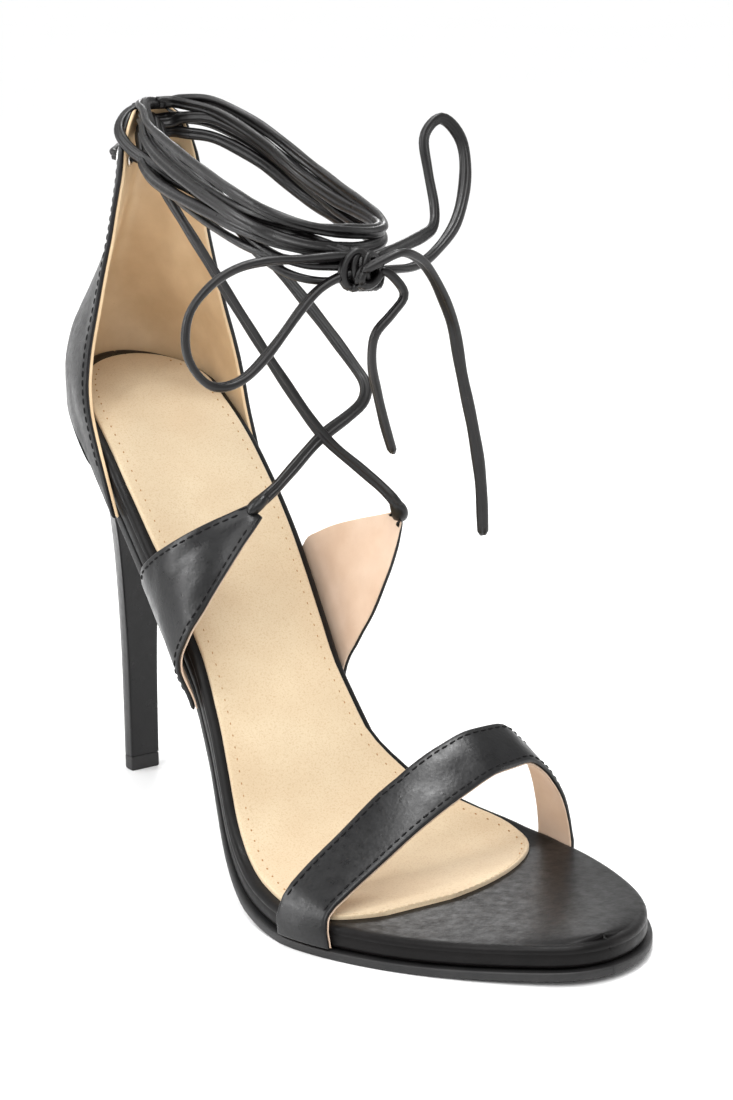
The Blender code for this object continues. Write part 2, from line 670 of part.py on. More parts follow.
def build_eyelets():
    """Small turned eyelets: a tube through the wall with a round flange outside."""
    bore = EYELET_BORE
    tube = bore + EYELET_TUBE
    flange = bore + EYELET_FLANGE
    face = COUNTER_WALL + EYELET_SEAT
    top = face + EYELET_PLATE
    profile = [(bore, 0.0), (tube, 0.0), (tube, face), (flange, face), (flange, face + EYELET_PLATE / 2),
               (bore + EYELET_FLANGE / 2, top), (bore, top - EYELET_PLATE / 3)]
    for side, name in ((LATERAL, "eyelet_lateral"), (MEDIAL, "eyelet_medial")):
        point, axis = eyelet_place(side)
        turned(name, profile, point, axis)


def strap_row(rear, front, crest, out):
    """Points across a strap's width, from its rear to its front edge, with a slight crown."""
    row = []
    for i in range(STRAP_COLUMNS + 1):
        share = i / STRAP_COLUMNS
        row.append(rear.lerp(front, share) + out * crest * 4 * share * (1 - share))
    return row


def build_toe_strap():
    """The broad band over the toes, its feet outside the board's edge."""

    def across(side_share, along, rise):
        outer = edge_point(LATERAL, along, CUP_FIT)[0]
        inner = edge_point(MEDIAL, along, CUP_FIT)[0]
        x = outer + (inner - outer) * side_share
        return place(x, along, underside(along, x)[0] + STRAP_SEAT + rise * TOE_STRAP_RISE)

    grid = []
    for row in TOE_BAND:
        rear = across(row.across, row.rear * SHOE_LENGTH, row.rear_rise)
        front = across(row.across, row.front * SHOE_LENGTH, row.front_rise)
        points = strap_row(rear, front, STRAP_CREST, Vector((0, 0, 1)) * min(row.rear_rise, 1))
        if row.rear_rise < STRAP_PINNED:
            for i, point in enumerate(points):
                side = LATERAL if row.across < 0.5 else MEDIAL
                along = REST_ALONG - point.y
                x = edge_point(side, along, CUP_FIT)[0]
                points[i] = Vector((x, point.y, point.z))
        grid.append(points)
    sheet("upper_toe_strap", grid, STRAP_WALL)


def build_flap(name, side, table, base_front):
    """A three-cornered flap from the board's edge up to the point that holds the lace."""
    base = []
    for i in range(STRAP_COLUMNS + 1):
        along = FLAP_REAR + (base_front - FLAP_REAR) * i / STRAP_COLUMNS
        x, along = edge_point(side, along, CUP_FIT)
        base.append(place(x, along, underside(along, x)[0]))
    grid = [base]
    for row in table:
        rear = place(row.rear_x * BALL_WIDTH, row.rear * SHOE_LENGTH, row.rear_up * HEEL_HEIGHT)
        front = place(row.front_x * BALL_WIDTH, row.front * SHOE_LENGTH, row.front_up * HEEL_HEIGHT)
        width = (front - rear).length
        grid.append(strap_row(rear, front, STRAP_CREST * width / STATION_STEP / 3, Vector((side, 0, 0))))
    sheet(name, grid, -side * STRAP_WALL, upright_start=True)


def route_points(route):
    """Points a lace step apart on one smooth curve through a route."""
    knots = [place(*(value * MM for value in point)) for point in route]
    knots = [2 * knots[0] - knots[1]] + knots + [2 * knots[-1] - knots[-2]]
    fine = []
    for a, b, c, d in zip(knots, knots[1:], knots[2:], knots[3:]):
        for i in range(8):
            t = i / 8
            fine.append(0.5 * (2 * b + (c - a) * t + (2 * a - 5 * b + 4 * c - d) * t * t
                               + (3 * b - a - 3 * c + d) * t ** 3))
    fine.append(knots[-2])
    lengths = [0.0]
    for a, b in zip(fine, fine[1:]):
        lengths.append(lengths[-1] + (b - a).length)
    count = max(2, round(lengths[-1] / LACE_STEP))
    points = []
    for i in range(count + 1):
        target = lengths[-1] * i / count
        j = min(bisect_right(lengths, target) - 1, len(fine) - 2)
        points.append(fine[j].lerp(fine[j + 1], (target - lengths[j]) / (lengths[j + 1] - lengths[j])))
    return points


def lace_curve(name, points):
    """A round lace as a bevelled curve with filled ends."""
    data = bpy.data.curves.new(name, "CURVE")
    data.dimensions = "3D"
    data.bevel_depth = LACE / 2
    data.bevel_resolution = 2
    data.use_fill_caps = True
    spline = data.splines.new("POLY")
    spline.points.add(len(points) - 1)
    for target, point in zip(spline.points, points):
        target.co = (*point, 1.0)
    return add_object(name, data)


def lace_mesh(name, points):
    """The same lace as a closed mesh."""
    curve = lace_curve(name + "_guide", points)
    source = curve.evaluated_get(bpy.context.evaluated_depsgraph_get())
    shape = bmesh.new()
    shape.from_mesh(bpy.data.meshes.new_from_object(source))
    bmesh.ops.remove_doubles(shape, verts=shape.verts, dist=0.001 * MM)
    bpy.data.objects.remove(curve, do_unlink=True)
    return add_mesh(name, shape)


def join_laces(first, second):
    """Unite two laces that cross into one solid."""
    second.hide_render = True
    second.display_type = "WIRE"
    union = first.modifiers.new("union", "BOOLEAN")
    union.operation = "UNION"
    union.solver = "EXACT"
    union.object = second


def build_laces():
    """The laces that cross over the instep, joined, and the stretch round the cup's back."""
    first = lace_mesh("lace_crossings", route_points(LACE_FROM_MEDIAL))
    second = lace_mesh("lace_crossing_other", route_points(LACE_FROM_LATERAL))
    join_laces(first, second)
    points = []
    up = eyelet_level()
    out = COUNTER_WALL + EYELET_SEAT + LACE / 2
    clear = EYELET_INSET + EYELET_BORE + EYELET_FLANGE + LACE_START
    for side, shares in ((LATERAL, BRIDGE_SHARES), (MEDIAL, BRIDGE_SHARES[::-1])):
        start = share_behind(side, up, clear)
        for share in shares:
            point, axis = cup_place(side, share * start, up)
            points.append(point + axis * out)
    lace_curve("lace_back_bridge", points)


def build_turns():
    """The lace wound round the ankle, one open spiral whose turns lie clear of each other."""
    route = []
    for k in range(TURNS):
        for i, row in enumerate(TURN_ROUTE):
            level = k + i / len(TURN_ROUTE) - TURNS / 2
            route.append((row.x, row.along + row.slide * level, row.z + row.fan * level * LACE / MM))
    lace_curve("lace_ankle_wraps", route_points(route))


def build_bow():
    """The knot with its two loops and two hanging ends."""
    shape = bmesh.new()
    bmesh.ops.create_uvsphere(shape, u_segments=14, v_segments=8, radius=0.5)
    centre = place(*(value * MM for value in KNOT_PLACE))
    for vertex in shape.verts:
        vertex.co = centre + Vector((vertex.co.x * KNOT_WIDTH, vertex.co.y * KNOT_DEPTH,
                                     vertex.co.z * KNOT_HEIGHT))
    add_mesh("lace_knot", shape)
    lace_curve("lace_loop_left", route_points(LOOP_LEFT))
    lace_curve("lace_loop_right", route_points(LOOP_RIGHT))
    lace_curve("lace_end_left", route_points(END_LEFT))
    lace_curve("lace_end_right", route_points(END_RIGHT))


def clear_scene():
    for item in list(bpy.data.objects):
        bpy.data.objects.remove(item, do_unlink=True)


clear_scene()
build_footbed()
build_outsole()
build_sock()
build_heel()
build_heel_tip()
build_counter()
build_eyelets()
build_toe_strap()
build_flap("upper_side_strap_lateral", LATERAL, LATERAL_FLAP, LATERAL_FLAP_FRONT)
build_flap("upper_side_strap_medial", MEDIAL, MEDIAL_FLAP, MEDIAL_FLAP_FRONT)
build_laces()
build_turns()
build_bow()
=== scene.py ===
"""The looks of a right-foot lace up heeled sandal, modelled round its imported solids.

Metres, +Z up. The toe points to -Y and the inner side of the foot to +X. In the tables and
routes below, "along" is the distance forward from the back of the footbed.
"""

from bisect import bisect_right
from collections import namedtuple
from functools import lru_cache
from math import ceil, copysign, cos, hypot, pi, radians, sin, sqrt

import bmesh
import bpy
import numpy as np
from mathutils import Matrix, Vector


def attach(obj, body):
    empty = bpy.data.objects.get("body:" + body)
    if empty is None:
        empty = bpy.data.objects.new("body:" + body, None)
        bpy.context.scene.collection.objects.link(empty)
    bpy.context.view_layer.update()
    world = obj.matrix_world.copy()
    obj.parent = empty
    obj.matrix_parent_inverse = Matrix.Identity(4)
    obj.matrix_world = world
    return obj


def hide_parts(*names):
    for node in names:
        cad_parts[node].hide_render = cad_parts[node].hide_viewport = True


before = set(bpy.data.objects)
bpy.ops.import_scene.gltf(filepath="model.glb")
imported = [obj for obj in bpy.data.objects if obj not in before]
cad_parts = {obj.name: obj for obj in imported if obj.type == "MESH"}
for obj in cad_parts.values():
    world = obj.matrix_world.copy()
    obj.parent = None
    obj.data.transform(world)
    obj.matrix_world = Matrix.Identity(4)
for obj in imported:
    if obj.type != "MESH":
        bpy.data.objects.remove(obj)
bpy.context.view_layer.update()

MM = 0.001

# Driving sizes of the sole and the last
SHOE_LENGTH = 208.0 * MM
BALL_WIDTH = 82.0 * MM
HEEL_HEIGHT = 110.0 * MM
SOLE_THICKNESS = 2.0 * MM
SOLE_LEDGE = 1.2 * MM
BOARD_THICKNESS = 5.2 * MM
TOE_CROWN = 1.2 * MM
SOCK_THICKNESS = 1.0 * MM
SOCK_MARGIN = 2.6 * MM
LAYER_FIT = 0.4 * MM

# Where the ends of the last become round
HEEL_ROUND = 26.0 * MM
HEEL_BACK_X = 2.0 * MM
TOE_ROUND = 62.0 * MM
TOE_TIP_X = 3.0 * MM
TOE_LATERAL_POWER = 1.5
TOE_MEDIAL_POWER = 2.0

# The toe's outer side turns a little rounder at its tip than the solid's
TIP_ROUNDING = 0.32
TIP_SHARPNESS = 12

# The sock's round front edge
SOCK_FRONT = 164.0 * MM
SOCK_FRONT_X = -16.0 * MM
SOCK_LATERAL_CORNER = 9.0 * MM
SOCK_MEDIAL_CORNER = 34.0 * MM

# Heel
BREAST_ALONG = 41.0 * MM
TIP_WIDTH = 8.8 * MM
TIP_DEPTH = 6.8 * MM
TIP_BACK_ALONG = 8.5 * MM
TIP_X = -0.8 * MM
TIP_HEIGHT = 4.2 * MM

# Heel cup
COUNTER_TOP = 183.0 * MM
COUNTER_WALL = 2.0 * MM
COUNTER_FRONT = 34.0 * MM
COUNTER_WING_LATERAL = 20.0 * MM
COUNTER_WING_MEDIAL = 9.0 * MM
COUNTER_AXIS_X = -1.0 * MM
EYELET_DROP = 12.0 * MM
EYELET_INSET = 6.0 * MM
EYELET_BORE = 1.6 * MM
EYELET_TUBE = 0.5 * MM
EYELET_FLANGE = 1.3 * MM
EYELET_SEAT = 0.75 * MM

# Straps
STRAP_WALL = 1.6 * MM
TOE_STRAP_RISE = 36.8 * MM
STRAP_CREST = 0.6 * MM
FLAP_REAR = 67.0 * MM
LATERAL_FLAP_FRONT = 90.0 * MM
MEDIAL_FLAP_FRONT = 91.5 * MM

# Laces
LACE = 2.8 * MM

# The middle of the forefoot's resting spot, forward from the back of the footbed
REST_ALONG = 158.0 * MM

# The last in plan and in profile. along: share of SHOE_LENGTH. lateral, medial: share of
# BALL_WIDTH. rise: share of the climb from the forefoot to HEEL_HEIGHT. skew: how far along
# the profile shifts for each unit across, because the ball line is slanted.
Last = namedtuple("Last", "along lateral medial rise skew")
LAST = [
    Last(0.00, -0.2200, 0.2500, 1.000, 0.00),
    Last(0.06, -0.2450, 0.2500, 0.968, 0.00),
    Last(0.11, -0.2740, 0.2475, 0.934, 0.00),
    Last(0.16, -0.3125, 0.2350, 0.884, 0.00),
    Last(0.21, -0.3325, 0.2275, 0.817, 0.00),
    Last(0.26, -0.3475, 0.2160, 0.733, 0.00),
    Last(0.31, -0.3525, 0.2050, 0.634, 0.00),
    Last(0.36, -0.3460, 0.1875, 0.525, 0.00),
    Last(0.41, -0.3450, 0.1625, 0.415, 0.03),
    Last(0.46, -0.3690, 0.1400, 0.305, 0.07),
    Last(0.51, -0.4125, 0.1400, 0.202, 0.10),
    Last(0.56, -0.4575, 0.2060, 0.107, 0.13),
    Last(0.61, -0.4910, 0.3190, 0.048, 0.15),
    Last(0.66, -0.5110, 0.4225, 0.014, 0.12),
    Last(0.71, -0.5200, 0.4750, 0.000, 0.06),
    Last(0.76, -0.5220, 0.4780, 0.000, 0.02),
    Last(0.82, -0.5220, 0.4780, 0.000, 0.00),
    Last(1.00, -0.5220, 0.4780, 0.013, 0.00),
]

# Where the toe's crown and the sole's ledge begin, and the running gaps of the heel, the cup
# and the straps
CROWN_START = 0.78
LEDGE_START = 0.42
LEDGE_FULL = 0.62
BREAST_GAP = 1.0 * MM
BREAST_HOLLOW = 1.0 * MM
CUP_FIT = 0.4 * MM
CUP_SEAT = 0.5 * MM
STRAP_PINNED = 0.17
STRAP_SEAT = 0.2 * MM

# The heel from its top piece to the seat. up: share of the height there. width, back,
# front: how far each has grown from the tip's size to the seat's.
HeelRow = namedtuple("HeelRow", "up width back front")
HEEL_ROWS = [
    HeelRow(0.00, 0.000, 0.00, 0.000),
    HeelRow(0.25, 0.012, 0.09, 0.012),
    HeelRow(0.50, 0.070, 0.29, 0.044),
    HeelRow(0.65, 0.160, 0.44, 0.107),
    HeelRow(0.77, 0.350, 0.60, 0.246),
    HeelRow(0.86, 0.580, 0.75, 0.464),
    HeelRow(0.93, 0.790, 0.87, 0.722),
    HeelRow(1.00, 1.000, 1.00, 1.000),
]

# The heel cup from its lower edge to its peak. up: share of the height there. width, depth:
# shares of the seat's. pinch: how much narrower its back is than its front. reach: how far
# the front edge stands past COUNTER_FRONT, as a share of that side's wing. arc: the share of
# the half outline that the row covers.
CupRow = namedtuple("CupRow", "up width depth pinch reach arc")
CUP_ROWS = [
    CupRow(0.000, 1.00, 1.00, 0.00, 1.00, 1.00),
    CupRow(0.035, 1.00, 1.00, 0.00, 0.80, 1.00),
    CupRow(0.070, 1.00, 1.01, 0.00, 0.58, 1.00),
    CupRow(0.120, 1.00, 1.02, 0.02, 0.36, 1.00),
    CupRow(0.180, 0.98, 1.01, 0.08, 0.20, 1.00),
    CupRow(0.260, 0.92, 0.96, 0.20, 0.10, 1.00),
    CupRow(0.340, 0.84, 0.88, 0.36, 0.04, 1.00),
    CupRow(0.420, 0.76, 0.77, 0.46, 0.01, 1.00),
    CupRow(0.500, 0.69, 0.66, 0.52, 0.00, 1.00),
    CupRow(0.600, 0.60, 0.53, 0.56, 0.01, 1.00),
    CupRow(0.700, 0.53, 0.43, 0.60, 0.03, 1.00),
    CupRow(0.790, 0.47, 0.36, 0.64, 0.06, 1.00),
    CupRow(0.870, 0.43, 0.31, 0.68, 0.10, 0.98),
    CupRow(0.930, 0.40, 0.28, 0.70, 0.12, 0.88),
    CupRow(0.970, 0.38, 0.26, 0.70, 0.13, 0.72),
    CupRow(1.000, 0.37, 0.24, 0.70, 0.14, 0.46),
]

# The toe band, from the outer foot to the inner. across: share of the way. rear_rise,
# front_rise: shares of TOE_STRAP_RISE. rear, front: shares of SHOE_LENGTH.
Band = namedtuple("Band", "across rear_rise front_rise rear front")
TOE_BAND = [
    Band(0.000, 0.000, 0.000, 0.704, 0.775),
    Band(0.002, 0.110, 0.100, 0.702, 0.772),
    Band(0.020, 0.215, 0.180, 0.700, 0.767),
    Band(0.075, 0.320, 0.240, 0.698, 0.763),
    Band(0.220, 0.505, 0.390, 0.693, 0.758),
    Band(0.400, 0.745, 0.575, 0.690, 0.752),
    Band(0.565, 0.905, 0.710, 0.690, 0.747),
    Band(0.695, 0.975, 0.785, 0.690, 0.742),
    Band(0.800, 0.955, 0.785, 0.686, 0.735),
    Band(0.895, 0.800, 0.660, 0.681, 0.729),
    Band(0.962, 0.560, 0.450, 0.678, 0.725),
    Band(0.990, 0.340, 0.280, 0.677, 0.723),
    Band(0.999, 0.160, 0.140, 0.677, 0.723),
    Band(1.000, 0.000, 0.000, 0.677, 0.723),
]

# The side flaps above the board's edge, up to the point that holds the lace. rear, front:
# shares of SHOE_LENGTH. rear_up, front_up: shares of HEEL_HEIGHT. rear_x, front_x: shares
# of BALL_WIDTH.
Flap = namedtuple("Flap", "rear rear_up rear_x front front_up front_x")
LATERAL_FLAP = [
    Flap(0.338, 0.660, -0.376, 0.430, 0.432, -0.397),
    Flap(0.355, 0.690, -0.371, 0.432, 0.482, -0.405),
    Flap(0.377, 0.717, -0.355, 0.446, 0.542, -0.395),
    Flap(0.399, 0.748, -0.319, 0.460, 0.612, -0.352),
    Flap(0.415, 0.773, -0.269, 0.464, 0.682, -0.287),
    Flap(0.428, 0.795, -0.213, 0.459, 0.745, -0.206),
    Flap(0.436, 0.814, -0.169, 0.449, 0.781, -0.144),
]
MEDIAL_FLAP = [
    Flap(0.336, 0.665, 0.224, 0.446, 0.425, 0.172),
    Flap(0.356, 0.686, 0.227, 0.460, 0.477, 0.183),
    Flap(0.382, 0.707, 0.230, 0.477, 0.532, 0.197),
    Flap(0.411, 0.726, 0.235, 0.491, 0.595, 0.212),
    Flap(0.440, 0.743, 0.245, 0.499, 0.655, 0.235),
    Flap(0.466, 0.757, 0.257, 0.502, 0.709, 0.257),
    Flap(0.490, 0.771, 0.270, 0.502, 0.748, 0.277),
]

# Lace routes, listed in millimetres: x, along, z. Each ends short of its eyelet.
LACE_FROM_MEDIAL = [
    (20.2, 104.6, 88.4), (18.5, 101.5, 91.6), (15.5, 96.9, 95.8), (9.3, 89.5, 104.0),
    (3.0, 80.6, 118.5), (-2.5, 69.2, 135.3), (-6.0, 60.5, 147.5), (-7.6, 51.0, 157.5),
    (-8.0, 42.0, 165.5), (-7.9, 35.5, 169.6),
]
LACE_FROM_LATERAL = [
    (-9.6, 93.0, 91.6), (-6.5, 92.4, 93.2), (-1.0, 90.8, 96.4), (9.0, 88.9, 103.0),
    (16.5, 90.0, 107.6), (20.6, 91.2, 111.2), (22.6, 89.6, 115.2), (22.4, 84.2, 120.0),
    (19.5, 72.3, 131.5), (15.0, 58.9, 144.6), (10.6, 47.6, 155.5), (7.6, 41.0, 163.5),
    (5.9, 35.5, 169.2),
]

# One turn of lace round the ankle, in millimetres. fan: how far the turns lie apart there, in
# lace diameters. slide: how much farther forward each higher turn lies.
Turn = namedtuple("Turn", "x along z fan slide")
TURN_ROUTE = [
    Turn(-0.6, 30.4, 179.8, 1.12, 0.3),
    Turn(-4.6, 31.6, 179.6, 1.12, 0.2),
    Turn(-7.0, 35.0, 178.8, 1.12, 0.0),
    Turn(-8.8, 39.5, 177.0, 1.14, 0.0),
    Turn(-12.0, 47.0, 173.0, 1.20, 0.0),
    Turn(-15.2, 62.0, 169.0, 1.25, 0.0),
    Turn(-18.5, 84.0, 164.2, 1.20, 0.0),
    Turn(-18.0, 103.0, 159.2, 1.15, 0.0),
    Turn(-11.5, 113.0, 156.0, 1.12, 0.0),
    Turn(0.5, 115.8, 154.2, 1.12, 0.0),
    Turn(10.5, 112.0, 155.4, 1.12, 0.0),
    Turn(16.5, 100.5, 158.0, 1.15, 0.0),
    Turn(19.8, 83.0, 161.6, 1.30, 0.0),
    Turn(20.5, 66.0, 167.4, 1.40, 0.0),
    Turn(17.6, 52.0, 175.0, 1.25, 0.0),
    Turn(11.0, 41.5, 180.4, 1.15, 0.0),
    Turn(5.4, 35.0, 181.0, 1.12, 0.0),
    Turn(3.2, 31.4, 180.4, 1.12, 0.2),
]
LOOP_LEFT = [
    (-5.3, 120.8, 148.2), (-13.0, 119.0, 143.9), (-23.8, 117.0, 131.5), (-31.5, 116.0, 125.4),
    (-39.0, 115.0, 125.0), (-43.9, 113.4, 132.0), (-42.8, 112.4, 141.0), (-37.0, 112.6, 147.4),
    (-30.3, 113.6, 151.0), (-23.3, 115.6, 152.4), (-15.0, 118.0, 152.4), (-5.3, 120.8, 152.6),
]
LOOP_RIGHT = [
    (9.3, 120.7, 148.3), (16.0, 119.2, 148.2), (23.2, 117.0, 150.2), (33.2, 113.0, 156.4),
    (40.6, 107.4, 166.0), (42.6, 103.4, 175.4), (38.2, 101.2, 181.0), (32.6, 101.6, 177.0),
    (31.8, 104.0, 169.0), (31.0, 107.6, 160.6), (27.8, 111.4, 156.2), (22.4, 114.4, 154.6),
    (15.2, 118.0, 153.6), (9.3, 120.7, 152.7),
]
END_LEFT = [
    (5.2, 125.8, 147.4), (7.6, 127.0, 143.0), (3.9, 126.6, 138.6), (0.2, 125.2, 134.0),
    (0.6, 123.4, 127.0), (3.3, 121.5, 120.0), (6.5, 120.0, 111.5), (9.6, 119.0, 103.9),
]
END_RIGHT = [
    (1.0, 127.2, 151.6), (6.0, 128.4, 153.2), (11.0, 127.6, 151.5), (15.4, 126.0, 148.2),
    (20.5, 124.0, 142.2), (26.0, 121.6, 133.3), (29.6, 120.0, 121.6), (34.0, 119.0, 106.5),
    (37.0, 118.0, 93.4), (38.5, 117.0, 79.2),
]
LACE_START = 0.8 * MM

# The lace round the cup's back: shares of the way from beside an eyelet to the cup's middle
BRIDGE_SHARES = (1.0, 0.78, 0.56, 0.34, 0.12)

# Small steps for slopes: along the outline, in shares of the profile and of the cup. How many
# places are tried along the cup.
OUTLINE_STEP = 0.05 * MM
PROFILE_STEP = 0.002
CUP_STEP = 0.01
CUP_SEARCH = 60


def smooth_table(knots, values):
    """A smooth curve through a table's values that never swings past them."""
    steps = [b - a for a, b in zip(knots, knots[1:])]
    rates = [(b - a) / step for a, b, step in zip(values, values[1:], steps)]
    inner = [2 * p * q / (p + q) if p * q > 0 else 0.0 for p, q in zip(rates, rates[1:])]
    slopes = [rates[0]] + inner + [rates[-1]]

    def value(x):
        x = min(max(x, knots[0]), knots[-1])
        i = min(bisect_right(knots, x) - 1, len(steps) - 1)
        t = (x - knots[i]) / steps[i]
        start = (1 + 2 * t) * (1 - t) ** 2 * values[i] + t * (1 - t) ** 2 * steps[i] * slopes[i]
        end = t * t * (3 - 2 * t) * values[i + 1] - t * t * (1 - t) * steps[i] * slopes[i + 1]
        return start + end

    return value


def table_curves(rows, key, *columns):
    """One smooth curve for each named column of a table, against its key column."""
    knots = [getattr(row, key) for row in rows]
    return [smooth_table(knots, [getattr(row, name) for row in rows]) for name in columns]


LATERAL_EDGE, MEDIAL_EDGE, RISE, SKEW = table_curves(
    LAST, "along", "lateral", "medial", "rise", "skew")
CUP_WIDTH, CUP_DEPTH, CUP_PINCH, CUP_REACH, CUP_ARC = table_curves(
    CUP_ROWS, "up", "width", "depth", "pinch", "reach", "arc")
LATERAL, MEDIAL = -1, 1


def place(x, along, z):
    """From across, along and up to the model's axes."""
    return Vector((x, REST_ALONG - along, z))


def half_outline(side, along):
    """How far across the last's edge lies, rounded at the heel and at the toe."""
    edge = LATERAL_EDGE if side == LATERAL else MEDIAL_EDGE
    x = edge(along / SHOE_LENGTH) * BALL_WIDTH
    toe_start = SHOE_LENGTH - TOE_ROUND
    if along < HEEL_ROUND:
        back = 1 - max(along, 0.0) / HEEL_ROUND
        return HEEL_BACK_X + (x - HEEL_BACK_X) * sqrt(1 - back * back)
    if along > toe_start:
        power = TOE_LATERAL_POWER if side == LATERAL else TOE_MEDIAL_POWER
        share = min((along - toe_start) / TOE_ROUND, 1.0)
        if side == LATERAL:
            power += TIP_ROUNDING * share ** TIP_SHARPNESS
        return TOE_TIP_X + (x - TOE_TIP_X) * (1 - share ** power) ** (1 / power)
    return x


def edge_point(side, along, outward=0.0):
    """A point of the outline in plan, moved outward square to it."""
    small = OUTLINE_STEP
    before = min(max(along - small, 0.0), SHOE_LENGTH - 2 * small)
    after = before + 2 * small
    slope = (half_outline(side, after) - half_outline(side, before)) / (after - before)
    length = hypot(1, slope)
    return (half_outline(side, along) + side * outward / length,
            along - side * slope * outward / length)


def underside(along, x):
    """Height of the board's lower face, and how much its slope stretches a thickness."""
    share = along / SHOE_LENGTH
    low = SOLE_THICKNESS + LAYER_FIT
    climb = HEEL_HEIGHT - low
    place_on_profile = share - SKEW(share) * x / SHOE_LENGTH
    small = PROFILE_STEP
    rate = (RISE(place_on_profile + small) - RISE(place_on_profile - small)) / (2 * small)
    return low + climb * RISE(place_on_profile), hypot(1, rate * climb / SHOE_LENGTH)


def spread(path, shares):
    """Points at shares of a plan path's own length."""
    lengths = [0.0]
    for a, b in zip(path, path[1:]):
        lengths.append(lengths[-1] + hypot(b[0] - a[0], b[1] - a[1]))
    points = []
    for share in shares:
        target = share * lengths[-1]
        i = min(bisect_right(lengths, target) - 1, len(path) - 2)
        t = (target - lengths[i]) / (lengths[i + 1] - lengths[i])
        points.append([a + (b - a) * t for a, b in zip(path[i], path[i + 1])])
    return points


@lru_cache(maxsize=None)
def side_path(side, outward, front):
    """The outline in plan from the middle of the back to a place along one side."""
    turns = [HEEL_ROUND * (1 - cos(angle * pi / 180)) for angle in range(0, 91, 6)]
    count = 12
    straight = [HEEL_ROUND + (front - HEEL_ROUND) * i / count for i in range(1, count + 1)]
    path = [edge_point(side, along, outward) for along in turns + straight]
    return [(HEEL_BACK_X, -outward)] + path[1:]


def cup_point(side, share, up):
    """A point on the cup's inner face, share of the way from its back to its front edge."""
    wing = COUNTER_WING_LATERAL if side == LATERAL else COUNTER_WING_MEDIAL
    front = COUNTER_FRONT + CUP_REACH(up) * wing
    path = side_path(side, CUP_FIT, round(front, 6))
    x, along = spread(path, [share * CUP_ARC(up)])[0]
    bottom = underside(along, x)[0] + CUP_SEAT
    behind = max(1 - along / COUNTER_FRONT, 0.0)
    x = COUNTER_AXIS_X + (x - COUNTER_AXIS_X) * CUP_WIDTH(up) * (1 - CUP_PINCH(up) * behind)
    if along < COUNTER_FRONT:
        along = COUNTER_FRONT + (along - COUNTER_FRONT) * CUP_DEPTH(up)
    return place(x, along, bottom + (COUNTER_TOP - bottom) * up)


def cup_place(side, share, up):
    """A point on the cup's inner face with the direction out of the cup there."""
    small = CUP_STEP
    point = cup_point(side, share, up)
    forward = cup_point(side, share + small, up) - cup_point(side, share - small, up)
    upward = cup_point(side, share, up + small) - cup_point(side, share, up - small)
    return point, upward.cross(forward).normalized() * side


def share_behind(side, up, distance):
    """The share at which a point of the cup lies a distance behind its front edge."""
    steps = CUP_SEARCH
    row = [cup_point(side, 1 - i / steps, up) for i in range(steps)]
    length = 0.0
    for i, (a, b) in enumerate(zip(row, row[1:])):
        length += (b - a).length
        if length >= distance:
            return 1 - (i + 1) / steps
    return 1 / steps


def eyelet_level():
    """How far up the cup the eyelets lie."""
    return 1 - EYELET_DROP / (COUNTER_TOP - HEEL_HEIGHT)


def eyelet_place(side):
    """Where an eyelet goes through the cup."""
    return cup_place(side, share_behind(side, eyelet_level(), EYELET_INSET), eyelet_level())


# The camera: where it stands, how it is turned, and its lens on a 36 mm long side
PHOTO_HEIGHT = 1100
FOCAL_PIXELS = 2685.66
SENSOR = 36.0
CAMERA_AZIMUTH = -35.3533
CAMERA_ELEVATION = 13.3256
CAMERA_ROLL = -0.6888
CAMERA_TARGET = (24.73, 71.74, 71.64)
CAMERA_DISTANCE = 0.68634
CAMERA_NEAR = 0.01

# Finer steps than the solids have
FINE_STATION = 2.5 * MM
FINE_LACE = 1.1 * MM
CUP_LEVELS = 54
CUP_SIDE_COLUMNS = 34
CUP_CROWDING = 0.9
HOLE_SIDES = 32
EYELET_SIDES = 40
LEATHER = 1.15 * MM
SEAM_STEP = 2.4 * MM
STITCH = 1.75 * MM
THREAD = 0.24 * MM
SOCK_BACK = 4.5 * MM
BAND_SEAM_INSET = 1.5 * MM
BAND_COLUMNS = 12
FLAP_SEAM_INSET = 1.6 * MM
FLAP_COLUMNS = 14
FLAP_ROWS = 28

# The rims of the three layers of the sole. inset, level: shares of the layer's thickness. The
# wrapped board has a fold line near its top.
Rim = namedtuple("Rim", "inset level")
FINE_BOARD_RIM = [
    Rim(0.20, 0.00), Rim(0.09, 0.05), Rim(0.03, 0.13), Rim(0.0, 0.24), Rim(0.0, 0.45),
    Rim(0.01, 0.60), Rim(0.035, 0.645), Rim(0.035, 0.665), Rim(0.01, 0.70), Rim(0.02, 0.80),
    Rim(0.07, 0.90), Rim(0.16, 0.965), Rim(0.30, 0.995), Rim(0.45, 1.0),
]
FINE_SOLE_RIM = [
    Rim(0.14, 0.0), Rim(0.04, 0.10), Rim(0.0, 0.25), Rim(0.0, 0.75), Rim(0.05, 0.93),
    Rim(0.16, 1.0),
]
FINE_SOCK_RIM = [Rim(0.0, 0.0), Rim(0.0, 0.45), Rim(0.10, 0.80), Rim(0.35, 0.96), Rim(0.80, 1.0)]


def tint(red, green, blue):
    """A colour from 0 to 255 in each channel, as the shaders want it."""
    return tuple((c / 255 / 12.92) if c < 11 else ((c / 255 + 0.055) / 1.055) ** 2.4
                 for c in (red, green, blue)) + (1.0,)


# Finishes


